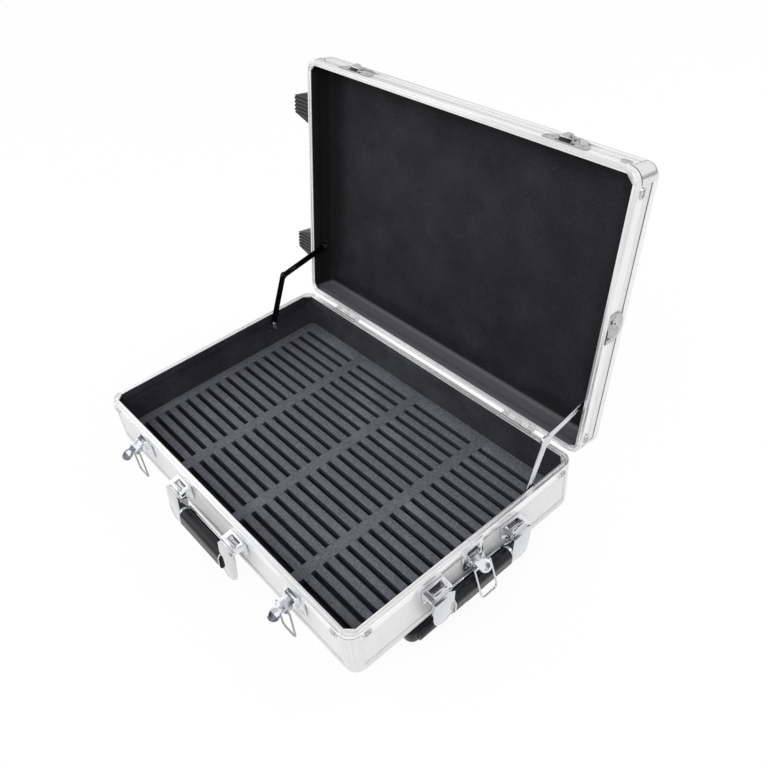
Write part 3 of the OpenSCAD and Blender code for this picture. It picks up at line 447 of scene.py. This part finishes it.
def buildLining(half):
    # black board with a short nap, rubbed cloudy and scratched a little; painted shade darkens it towards its
    # edges, so it is lighter in the middle
    values = liningValues[half]
    mat, tree, shader, coords = newMaterial(values["name"])
    if half == "lid":
        coords = shutCoordinates(tree, coords)
    total = useGroup(tree, scuffsAndDust, coords, **napValues["cloud"]).outputs["Mask"]
    broad = addNoise(tree, coords, **napValues["broad"])
    nap = useGroup(tree, fineGrain, coords, Scale=napValues["nap"])
    slant = addNode(tree, "ShaderNodeMapping")
    slant.inputs["Rotation"].default_value = napValues["scratchTurn"]
    thin = addNode(tree, "ShaderNodeVectorMath", operation="MULTIPLY")
    thin.inputs[1].default_value = napValues["scratchStretch"]
    tree.links.new(coords, slant.inputs["Vector"])
    tree.links.new(slant.outputs["Vector"], thin.inputs[0])
    scratch = addNoise(tree, thin.outputs["Vector"], **napValues["scratch"])
    scratches = fade(tree, scratch, *napValues["scratchFade"])
    for part in (toRange(tree, broad, *napValues["broadTone"]),
                 toRange(tree, nap.outputs["Tone"], *napValues["napTone"]),
                 toRange(tree, scratches, 0.0, napValues["scratchTone"])):
        total = addMath(tree, "ADD", total, part)
    # painted shade along the board's edges, as strong as edgeShade
    edges = edgeMask(tree, coords, napValues["edgeX"], napValues["edgeY"])
    shade = addMath(tree, "SUBTRACT", total, toRange(tree, edges, 0.0, values["edgeShade"]))
    colour = mixColours(tree, toRange(tree, shade, 0.0, 1.0), values["low"], values["high"])
    if half == "lid":
        # painted light: the wall at the hinges faces up while the lid is open, so it is painted lighter where
        # the light falls on it
        litBand = fade(tree, splitAxes(tree, coords)["Y"], *napValues["litBandFrom"])
        colour = mixColours(tree, litBand, colour, napValues["litBandColour"])
    tree.links.new(colour, shader.inputs["Base Color"])
    shader.inputs["Roughness"].default_value = napValues["rough"]
    shader.inputs["Specular IOR Level"].default_value = napValues["specular"]
    shader.inputs["Sheen Weight"].default_value = napValues["sheen"]
    addBump(tree, shader, nap.outputs["Height"], napValues["bump"], napValues["bumpDepth"])
    return mat


materials = {key: buildBrushed(values) for key, values in brushedValues.items()}
materials.update({key: buildPlated(values) for key, values in platedValues.items()})
materials.update({key: buildPlastic(values) for key, values in plasticValues.items()})
materials["lining"] = buildLining("base")
materials["lidLining"] = buildLining("lid")
materials["foam"] = buildFoam(foamValues)
print("materials made:", len(materials))

finishOf = {
    "rim": ["base_rim"],
    "edge": ["base_edges"],
    "lidRim": ["lid_rim", "lid_edges"],
    "corner": ["base_corners", "lid_corners"],
    "hinge": ["hinge_base_leaves", "hinge_lid_leaves", "hinge_pins"],
    "tube": ["outer_tubes", "middle_tubes", "inner_tubes"],
    "panel": ["base_floor", "base_front_panel", "base_right_panel", "base_back_panel", "base_left_panel",
              "lid_top", "lid_front_panel", "lid_right_panel", "lid_back_panel", "lid_left_panel"],
    "lip": ["base_rim_clips"],
    "keeperSteel": ["latch_keepers", "lid_rim_clips"],
    "plateSteel": ["latch_plates", "front_handle_brackets", "side_handle_brackets", "side_lever"],
    "leverSteel": ["front_left_lever", "front_right_lever"],
    "wireSteel": ["front_left_bail", "front_right_bail"],
    "chrome": ["front_handle_arms", "side_handle_arms", "side_bail", "stay_base_plates", "stay_lid_plates",
               "base_screws", "lid_screws", "wheel_axles", "right_lower_stay", "right_upper_stay"],
    # the left stay's near black is a painted reflection of the dark lining
    "stayDarkReflection": ["left_lower_stay", "left_upper_stay"],
    "lining": ["base_lining"],
    "lidLining": ["lid_lining"],
    "foam": ["tray_base", "tray_bands", "tray_ribs"],
    "grip": ["tube_end_blocks", "wheel_housings", "rest_pads", "front_handle_grip", "side_handle_grip",
             "pull_grip"],
    "foot": ["standing_feet", "release_button"],
    "tyre": ["front_wheel", "rear_wheel"],
}


def paint(thing, mat):
    thing.data.materials.clear()
    thing.data.materials.append(mat)


for finish, names in finishOf.items():
    for name in names:
        paint(nodes[name], materials[finish])
print("finishes assigned")

# the record's body for each node, which the new pieces ride with
bodies = frame["record"]["behaviour"]["bodies"]
bodyOf = {name: body for body, names in bodies.items() for name in names}


def fitPiece(piece, finish, body):
    paint(piece, materials[finish])
    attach(piece, body)


# millimetres of rounding on the edges of each hard node, as pressed and cast metal has
edgeRounds = {
    "base_rim": 0.35, "lid_rim": 0.35, "base_edges": 0.2, "lid_edges": 0.2, "base_corners": 0.3,
    "lid_corners": 0.3, "latch_plates": 0.3, "front_handle_brackets": 0.7, "side_handle_brackets": 0.7,
    "latch_keepers": 0.4, "front_left_lever": 0.3, "front_right_lever": 0.3, "side_lever": 0.3,
    "front_handle_arms": 1.1, "side_handle_arms": 1.1, "left_lower_stay": 0.2, "left_upper_stay": 0.2,
    "right_lower_stay": 0.2, "right_upper_stay": 0.2, "standing_feet": 0.5, "tube_end_blocks": 0.6,
    "wheel_housings": 0.5, "pull_grip": 0.9, "release_button": 0.4, "front_wheel": 0.5,
    "rear_wheel": 0.5, "rest_pads": 0.5, "tray_bands": 0.3, "tray_ribs": 0.3,
    "hinge_base_leaves": 0.15, "hinge_lid_leaves": 0.15, "base_screws": 0.2, "lid_screws": 0.2,
}

roundingValues = {
    "mergeWithin": 0.000002,   # metres
    "flatWithin": 0.6, "nodeEdgesFrom": 40.0, "edgesFrom": 30.0, "smoothBelow": 35.0,   # degrees
    "segments": 2,
}


def selectOnly(piece):
    bpy.ops.object.select_all(action="DESELECT")
    piece.select_set(True)
    bpy.context.view_layer.objects.active = piece


def shadeSmooth():
    bpy.ops.object.shade_smooth_by_angle(angle=math.radians(roundingValues["smoothBelow"]))


def roundEdges(piece, width, segments, edgesFrom):
    bevel = piece.modifiers.new("round", "BEVEL")
    bevel.width = width * mm
    bevel.segments = segments
    bevel.limit_method = "ANGLE"
    bevel.angle_limit = math.radians(edgesFrom)
    bpy.ops.object.modifier_apply(modifier="round")
    shadeSmooth()


def softenNode(name, width):
    source = nodes[name]
    piece = bpy.data.objects.new(name + "_soft", source.data.copy())
    bpy.context.collection.objects.link(piece)
    selectOnly(piece)
    bpy.ops.object.mode_set(mode="EDIT")
    bpy.ops.mesh.select_all(action="SELECT")
    bpy.ops.mesh.remove_doubles(threshold=roundingValues["mergeWithin"])
    bpy.ops.mesh.dissolve_limited(angle_limit=math.radians(roundingValues["flatWithin"]))
    bpy.ops.mesh.select_all(action="DESELECT")
    bpy.ops.object.mode_set(mode="OBJECT")
    roundEdges(piece, width, roundingValues["segments"], roundingValues["nodeEdgesFrom"])
    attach(piece, bodyOf[name])
    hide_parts(name)
    return piece


soft = {name: softenNode(name, width) for name, width in edgeRounds.items()}
print("edges rounded on", len(soft), "nodes")

lift = Matrix.Translation((0, 0, caseValues["groundGap"] * mm))


def wallLength(index):
    return caseValues["length"] if index % 2 == 0 else caseValues["width"]


def onWall(index):
    # x along the wall, y inwards from its outer face, z up from the base's underside
    off = wallLength(index + 1) / 2
    turn = Matrix.Rotation(math.radians(90 * index), 4, "Z")
    return lift @ turn @ Matrix.Translation((0, -off * mm, 0))


def swungOpen():
    hinge = Matrix.Translation((0, caseValues["hingeY"] * mm, caseValues["hingeZ"] * mm))
    turn = Matrix.Rotation(math.radians(-caseValues["lidOpen"]), 4, "X")
    return lift @ hinge @ turn @ hinge.inverted() @ lift.inverted()


def onHalf(half, index):
    return onWall(index) if half == "base" else swungOpen() @ onWall(index)


def meetingHeight(half):
    # the rim's face that meets the other half when the case is shut
    return caseValues["baseHeight"] + (0 if half == "base" else caseValues["rimGap"])


def board(name, low, high, rounding, place, body, finish):
    # a thin pressed or moulded slip between two corners, given in millimetres on a wall
    size = [(b - a) * mm for a, b in zip(low, high)]
    middle = [(a + b) / 2 * mm for a, b in zip(low, high)]
    bpy.ops.object.select_all(action="DESELECT")
    bpy.ops.mesh.primitive_cube_add(size=1, location=middle, scale=size)
    piece = bpy.context.active_object
    piece.name = name
    bpy.ops.object.transform_apply(location=True, rotation=True, scale=True)
    bpy.ops.object.mode_set(mode="EDIT")
    bpy.ops.mesh.select_all(action="SELECT")
    bpy.ops.mesh.bevel(offset=rounding * mm, segments=roundingValues["segments"], affect="EDGES")
    bpy.ops.object.mode_set(mode="OBJECT")
    piece.data.transform(place)
    shadeSmooth()
    fitPiece(piece, finish, body)


def disc(name, radius, depth, sides, place=(0, 0, 0)):
    # a short cylinder with its axis along x, in millimetres, and its place in metres
    bpy.ops.object.select_all(action="DESELECT")
    bpy.ops.mesh.primitive_cylinder_add(
        vertices=sides, radius=radius * mm, depth=depth * mm, location=place, rotation=(0, math.pi / 2, 0))
    piece = bpy.context.active_object
    piece.name = name
    bpy.ops.object.transform_apply(location=True, rotation=True, scale=True)
    return piece


def shadeFaces(piece, toLocal, inside, finish):
    # gives another material, a painted shade, to the faces whose middle the test finds inside a recess
    if len(piece.data.materials) < 2:
        piece.data.materials.append(materials[finish])
    turn = toLocal.to_3x3()
    hits = [f for f in piece.data.polygons if inside(toLocal @ f.center / mm, turn @ f.normal)]
    for face in hits:
        face.material_index = 1
    return len(hits)


# the lining board runs up over the inner leg of the rim to just under its lip; its dark colour there is
# partly painted shade on that leg
lipValues = {"thick": 0.4, "below": 0.9, "overlap": 2.0, "rounding": 0.15}


def buildLiningLips():
    for half, finish, away in (("base", "lining", -1), ("lid", "lidLining", 1)):
        top = meetingHeight(half)
        ends = sorted((top + away * lipValues["below"], top + away * caseValues["rimDepth"]))
        for index in range(4):
            reach = wallLength(index) / 2 - caseValues["cornerRadius"] + lipValues["overlap"]
            inner = caseValues["rimWidth"]
            board(half + "_lining_lip_" + str(index + 1), (-reach, inner, ends[0]),
                  (reach, inner + lipValues["thick"], ends[1]), lipValues["rounding"],
                  onHalf(half, index), half, finish)


buildLiningLips()
print("lining lips made")

tabValues = {
    "inset": 7.0, "below": 7.0, "recess": (7.4, 4.0), "height": 1.8, "screwRadius": 1.5,
    "screwHeight": 1.5, "play": 0.05, "slotDepth": 0.3,
}


def inTabRecess(centre, normal):
    wide, tall = tabValues["recess"]
    play = tabValues["play"]
    out = -centre.y
    near = abs(centre.x) < wide / 2 + play and abs(centre.z) < tall / 2 + play
    onHead = math.hypot(centre.x, centre.z) < tabValues["screwRadius"] \
        and out > tabValues["screwHeight"] - tabValues["slotDepth"]
    return near and not onHead and out < tabValues["height"] - play


# painted shade in the recess of each tab, round its screw head
def shadeTabs():
    found = 0
    for half, name, away in (("base", "base_screws", -1), ("lid", "lid_screws", 1)):
        z = meetingHeight(half) + away * tabValues["below"]
        for index in range(4):
            reach = wallLength(index) / 2 - caseValues["cornerRadius"] - tabValues["inset"]
            for u in (-reach, reach):
                toTab = Matrix.Translation((-u * mm, 0, -z * mm)) @ onHalf(half, index).inverted()
                found += shadeFaces(soft[name], toTab, inTabRecess, "dimpleShade")
    return found


print("recessed faces in the tabs:", shadeTabs())

latchValues = {
    "places": ((0, -157.0), (0, 157.0), (1, 0.0)),   # wall and distance along it
    "slot": ((-7.3, 0.02, 57.2), (7.3, 0.3, 62.8)),
    "rounding": 0.08,
}


# painted shade: a dark board in the slot of each latch plate
def buildLatchShadows():
    low, high = latchValues["slot"]
    for number, (index, u) in enumerate(latchValues["places"]):
        board("latch_slot_shade_" + str(number + 1), (u + low[0], -high[1], low[2]),
              (u + high[0], -low[1], high[2]), latchValues["rounding"], onWall(index), "base", "recess")


buildLatchShadows()

windowValues = {
    "across": 114.0, "half": 8.5, "play": 0.1, "reach": (2.6, 13.2), "flat": 0.9,
    "pin": (12.0, 55.0), "pinRadius": 2.6,
}


def inWindow(centre, normal):
    out = -centre.y
    start, stop = windowValues["reach"]
    pinOut, pinUp = windowValues["pin"]
    return abs(centre.x) < windowValues["half"] + windowValues["play"] \
        and start < out < stop and abs(normal.z) < windowValues["flat"] \
        and math.hypot(out - pinOut, centre.z - pinUp) > windowValues["pinRadius"]


# painted shade on the faces inside each handle bracket's window, away from its pin
def shadeWindows():
    for name, index in (("front_handle_brackets", 0), ("side_handle_brackets", 1)):
        for side in (-1, 1):
            offset = Matrix.Translation((-side * windowValues["across"] / 2 * mm, 0, 0))
            shadeFaces(soft[name], offset @ onWall(index).inverted(), inWindow, "recess")


shadeWindows()
print("slots and windows shaded")

# the reach is from a lever's far end to where the painted dark reflection on its curl starts
tipValues = {"levers": ("front_left_lever", "front_right_lever"), "reach": 7.0}


def shadeTips():
    toWall = onWall(0).inverted()
    for name in tipValues["levers"]:
        piece = soft[name]
        far = min((toWall @ v.co).y for v in piece.data.vertices) / mm
        piece.data.materials.append(materials["tipDarkReflection"])
        for face in piece.data.polygons:
            if (toWall @ face.center).y / mm < far + tipValues["reach"]:
                face.material_index = 1


shadeTips()

cornerValues = {"lipDepth": 3.4, "seam": {"base": 0.7, "lid": 1.3}}


def cutLevel(piece, place, height):
    # cuts a seam round the piece at one height of the shut case
    selectOnly(piece)
    bpy.ops.object.mode_set(mode="EDIT")
    bpy.ops.mesh.select_all(action="SELECT")
    bpy.ops.mesh.bisect(plane_co=place @ Vector((0, 0, height * mm)),
                        plane_no=(place.to_3x3() @ Vector((0, 0, 1))).normalized())
    bpy.ops.mesh.select_all(action="DESELECT")
    bpy.ops.object.mode_set(mode="OBJECT")


def dressCorners():
    # satin lip over each rim corner, with painted shade as a dark seam under it
    for half, name, away in (("base", "base_corners", -1), ("lid", "lid_corners", 1)):
        piece = soft[name]
        place = lift if half == "base" else swungOpen() @ lift
        lip = meetingHeight(half) + away * cornerValues["lipDepth"]
        seam = lip + away * cornerValues["seam"][half]
        cutLevel(piece, place, lip)
        cutLevel(piece, place, seam)
        piece.data.materials.append(materials["recess"])
        piece.data.materials.append(materials["lip"])
        toShut = place.inverted()
        for face in piece.data.polygons:
            height = (toShut @ face.center).z / mm
            if min(lip, seam) < height < max(lip, seam):
                face.material_index = 1
            elif (height - lip) * away < 0:
                face.material_index = 2


dressCorners()

collarValues = {
    "long": 1.8, "proud": 0.45, "size": (15.0, 25.5), "at": (2.0, -34.0), "pin": (12.0, 55.0),
    "reach": 43.5, "sides": 48, "middle": 0.01, "rounding": 0.4, "segments": 3,
    "hang": {"front": 6.0, "side": -6.0},   # degrees that each handle hangs off the vertical
}


def buildCollars(handle, index):
    # a plated ring round each end of a grip
    out, up = collarValues["at"]
    pinOut, pinUp = collarValues["pin"]
    wide, tall = collarValues["size"]
    half = (tall - wide) / 2 * mm
    turn = Matrix.Rotation(math.radians(-collarValues["hang"][handle]), 4, "X")
    swing = Matrix.Translation((0, -pinOut * mm, pinUp * mm)) @ turn
    for side, label in ((-1, "_left"), (1, "_right")):
        ring = disc(handle + "_grip_collar" + label, wide / 2 + collarValues["proud"],
                    collarValues["long"], collarValues["sides"])
        # the upper and lower halves move apart, which makes the round an oval
        for vert in ring.data.vertices:
            if abs(vert.co.z) > collarValues["middle"] * mm:
                vert.co.z += math.copysign(half, vert.co.z)
        bpy.ops.object.mode_set(mode="EDIT")
        bpy.ops.mesh.select_all(action="SELECT")
        bpy.ops.mesh.normals_make_consistent(inside=False)
        bpy.ops.object.mode_set(mode="OBJECT")
        roundEdges(ring, collarValues["rounding"], collarValues["segments"], roundingValues["edgesFrom"])
        along = side * (collarValues["reach"] - collarValues["long"] / 2)
        ring.data.transform(onWall(index) @ swing @ Matrix.Translation((along * mm, -out * mm, up * mm)))
        fitPiece(ring, "chrome", bodyOf[handle + "_handle_grip"])


buildCollars("front", 0)
buildCollars("side", 1)

# the lows are the openings' lower edges on the front and on the right wall of the shut case
keeperValues = {"half": 5.9, "lows": (83.65, 80.15), "tall": 3.8, "out": (0.02, 0.3), "rounding": 0.08}


# painted shade: a dark board across each keeper's opening, over the lid wall behind it
def buildKeeperOpeningShades():
    near, far = keeperValues["out"]
    half = keeperValues["half"]
    for number, (index, u) in enumerate(latchValues["places"]):
        low = keeperValues["lows"][index]
        board("keeper_opening_shade_" + str(number + 1), (u - half, -far, low),
              (u + half, -near, low + keeperValues["tall"]), keeperValues["rounding"],
              onHalf("lid", index), "lid", "recess")


buildKeeperOpeningShades()
print("corner lips, collars and keeper openings made")

mouthValues = {
    "foot": (1.6, 73.4), "slope": 45.6, "half": 7.0, "mouth": (0.3, 4.2), "ridge": (4.3, 5.5),
    "wing": (7.0, 11.5), "wingUp": (0.3, 3.4), "sink": 0.1, "skin": 0.12, "ridgeProud": 0.45,
    "rounding": 0.05, "ridgeRounding": 0.2,
}


def buildMouths():
    # painted shade as a dark mouth under each keeper's hood, with a bright ridge above it and painted shade
    # as a dark wing on each side
    out, foot = mouthValues["foot"]
    half, sink, skin = mouthValues["half"], mouthValues["sink"], mouthValues["skin"]
    turn = Matrix.Rotation(math.radians(mouthValues["slope"]), 4, "X")
    low, high = mouthValues["wingUp"]
    for number, (index, u) in enumerate(latchValues["places"]):
        wall = onHalf("lid", index)
        slope = wall @ Matrix.Translation((u * mm, -out * mm, foot * mm)) @ turn
        label = str(number + 1)
        start, stop = mouthValues["mouth"]
        board("keeper_mouth_shade_" + label, (-half, -skin, start), (half, sink, stop),
              mouthValues["rounding"], slope, "lid", "recess")
        start, stop = mouthValues["ridge"]
        board("keeper_ridge_" + label, (-half, -mouthValues["ridgeProud"], start), (half, sink, stop),
              mouthValues["ridgeRounding"], slope, "lid", "chrome")
        start, stop = mouthValues["wing"]
        for side, part in ((-1, "_left"), (1, "_right")):
            ends = sorted((u + side * start, u + side * stop))
            board("keeper_wing_shade_" + label + part, (ends[0], -out - skin, foot + low),
                  (ends[1], -out + sink, foot + high), mouthValues["rounding"], wall, "lid", "recess")


buildMouths()

hingeValues = {
    "places": (-160.0, 160.0), "half": 23.4, "near": 0.9, "far": 5.6, "line": 0.55, "top": 71.7,
    "sink": 0.1, "skin": 0.12, "rounding": 0.04,
}


def buildHingeLines():
    # painted shade as a dark line in the gap round each hinge leaf let into the base's back rim
    half, line, top = hingeValues["half"], hingeValues["line"], hingeValues["top"]
    near, far = hingeValues["near"], hingeValues["far"]
    for number, u in enumerate(hingeValues["places"]):
        lines = [((u - half, near), (u + half, near + line)), ((u - half, far - line), (u + half, far)),
                 ((u - half, near), (u - half + line, far)), ((u + half - line, near), (u + half, far))]
        for part, (low, high) in enumerate(lines):
            board("hinge_gap_shade_" + str(number + 1) + "_" + str(part + 1),
                  (*low, top - hingeValues["sink"]), (*high, top + hingeValues["skin"]),
                  hingeValues["rounding"], onWall(2), "base", "recess")


buildHingeLines()

seamValues = {
    "reach": 147.5, "below": 18.0, "wide": 0.36, "skin": 1.2, "proud": 0.35, "sink": 0.1, "rounding": 0.06,
}


def buildEdgeSeams():
    # painted shade in the gap where the moulding's lip ends on the lid's two end walls
    top = meetingHeight("lid") + caseValues["lidHeight"] - seamValues["below"]
    reach, skin, sink = seamValues["reach"], seamValues["skin"], seamValues["sink"]
    for index in (1, 3):
        board("lid_edge_seam_shade_" + str(index), (-reach, skin - seamValues["proud"], top - seamValues["wide"]),
              (reach, skin + sink, top + sink), seamValues["rounding"], onHalf("lid", index), "lid", "recess")


buildEdgeSeams()

elbowValues = {
    "radius": 8.0, "thick": 0.55, "outer": 237.9, "sink": 0.05, "sides": 64, "rounding": 0.2, "segments": 2,
}


def buildElbowWasher():
    # wide washer on the outer face of the right stay's elbow, with the rivet's head over it
    joints = frame["record"]["behaviour"]["joints"]
    pin = Vector(next(j for j in joints if j["name"] == "right_elbow_pin")["pos_m"])
    middle = (elbowValues["outer"] - elbowValues["sink"] + elbowValues["thick"] / 2) * mm
    washer = disc("right_elbow_washer", elbowValues["radius"], elbowValues["thick"],
                  elbowValues["sides"], (middle, pin.y, pin.z))
    roundEdges(washer, elbowValues["rounding"], elbowValues["segments"], roundingValues["edgesFrom"])
    fitPiece(washer, "chrome", bodyOf["right_lower_stay"])


buildElbowWasher()
print("keeper mouths, seams and elbow washer made")

studioValues = {
    # position from straight down (0) to straight up (1), and brightness
    "skySteps": ((0.0, 0.85), (0.485, 0.80), (0.50, 0.42), (0.55, 0.42), (0.62, 1.0),
                 (0.935, 1.0), (0.97, 0.20), (1.0, 0.14)),
    "skyStrength": 1.0,
    "white": (1, 1, 1, 1),
    "floorGrey": 0.90,
    "floorShare": 0.93,   # how far the floor is lifted to the white backdrop, 0 to 1
    "floorSize": 8.0, "floorDrop": 0.0003, "floorRough": 0.9, "floorSpecular": 0.1,
    "lampAim": (0, 0, 0.1),
    # name, place, size, power and whether reflections show it: the panel behind would glare
    # on the shut lid
    "lamps": (
        ("keyPanel", (0.9, -1.3, 1.9), 1.4, 17.0, True),
        ("fillPanel", (-1.6, -0.9, 1.2), 1.6, 6.0, True),
        ("rimPanel", (0.5, 1.6, 1.6), 1.2, 9.0, False),
    ),
}


def buildFloor(values):
    bpy.ops.object.select_all(action="DESELECT")
    bpy.ops.mesh.primitive_plane_add(size=values["floorSize"], location=(0, 0, -values["floorDrop"]))
    floor = bpy.context.active_object
    floor.name = "studioFloor"
    mat = bpy.data.materials.new("paleFloor")
    mat.use_nodes = True
    tree = mat.node_tree
    shader = tree.nodes["Principled BSDF"]
    shader.inputs["Base Color"].default_value = (values["floorGrey"],) * 3 + (1,)
    shader.inputs["Roughness"].default_value = values["floorRough"]
    shader.inputs["Specular IOR Level"].default_value = values["floorSpecular"]
    glow = addNode(tree, "ShaderNodeEmission", Color=values["white"], Strength=1.0)
    rays = tree.nodes.new("ShaderNodeLightPath").outputs
    seen = addMath(tree, "MAXIMUM", rays["Is Camera Ray"], rays["Is Glossy Ray"])
    seen = addMath(tree, "MAXIMUM", seen, rays["Is Transmission Ray"])
    mix = tree.nodes.new("ShaderNodeMixShader")
    tree.links.new(addMath(tree, "MULTIPLY", seen, values["floorShare"]), mix.inputs["Fac"])
    tree.links.new(shader.outputs["BSDF"], mix.inputs[1])
    tree.links.new(glow.outputs["Emission"], mix.inputs[2])
    tree.links.new(mix.outputs["Shader"], tree.nodes["Material Output"].inputs["Surface"])
    floor.data.materials.append(mat)


def buildSky(values):
    world = bpy.data.worlds.new("studioWorld")
    world.use_nodes = True
    bpy.context.scene.world = world
    tree = world.node_tree
    sky = tree.nodes["Background"]
    direction = tree.nodes.new("ShaderNodeTexCoord").outputs["Generated"]
    height = toRange(tree, splitAxes(tree, direction)["Z"], 0.0, 1.0, -1.0)
    steps = tree.nodes.new("ShaderNodeValToRGB")
    stops = values["skySteps"]
    while len(steps.color_ramp.elements) < len(stops):
        steps.color_ramp.elements.new(0.5)
    for element, (place, grey) in zip(steps.color_ramp.elements, stops):
        element.position = place
        element.color = (grey, grey, grey, 1)
    tree.links.new(height, steps.inputs["Fac"])
    tree.links.new(steps.outputs["Color"], sky.inputs["Color"])
    sky.inputs["Strength"].default_value = values["skyStrength"]
    white = addNode(tree, "ShaderNodeBackground", Color=values["white"], Strength=1.0)
    mix = tree.nodes.new("ShaderNodeMixShader")
    tree.links.new(tree.nodes.new("ShaderNodeLightPath").outputs["Is Camera Ray"], mix.inputs["Fac"])
    tree.links.new(sky.outputs["Background"], mix.inputs[1])
    tree.links.new(white.outputs["Background"], mix.inputs[2])
    tree.links.new(mix.outputs["Shader"], tree.nodes["World Output"].inputs["Surface"])


def buildLamps(values):
    for name, place, size, power, mirrored in values["lamps"]:
        data = bpy.data.lights.new(name, "AREA")
        data.size = size
        data.energy = power
        lamp = bpy.data.objects.new(name, data)
        bpy.context.collection.objects.link(lamp)
        lamp.visible_glossy = mirrored
        lamp.location = place
        aim = Vector(values["lampAim"]) - Vector(place)
        lamp.rotation_euler = aim.to_track_quat("-Z", "Y").to_euler()


buildFloor(studioValues)
buildSky(studioValues)
buildLamps(studioValues)
bpy.context.scene.view_settings.view_transform = "Standard"
print("studio built")
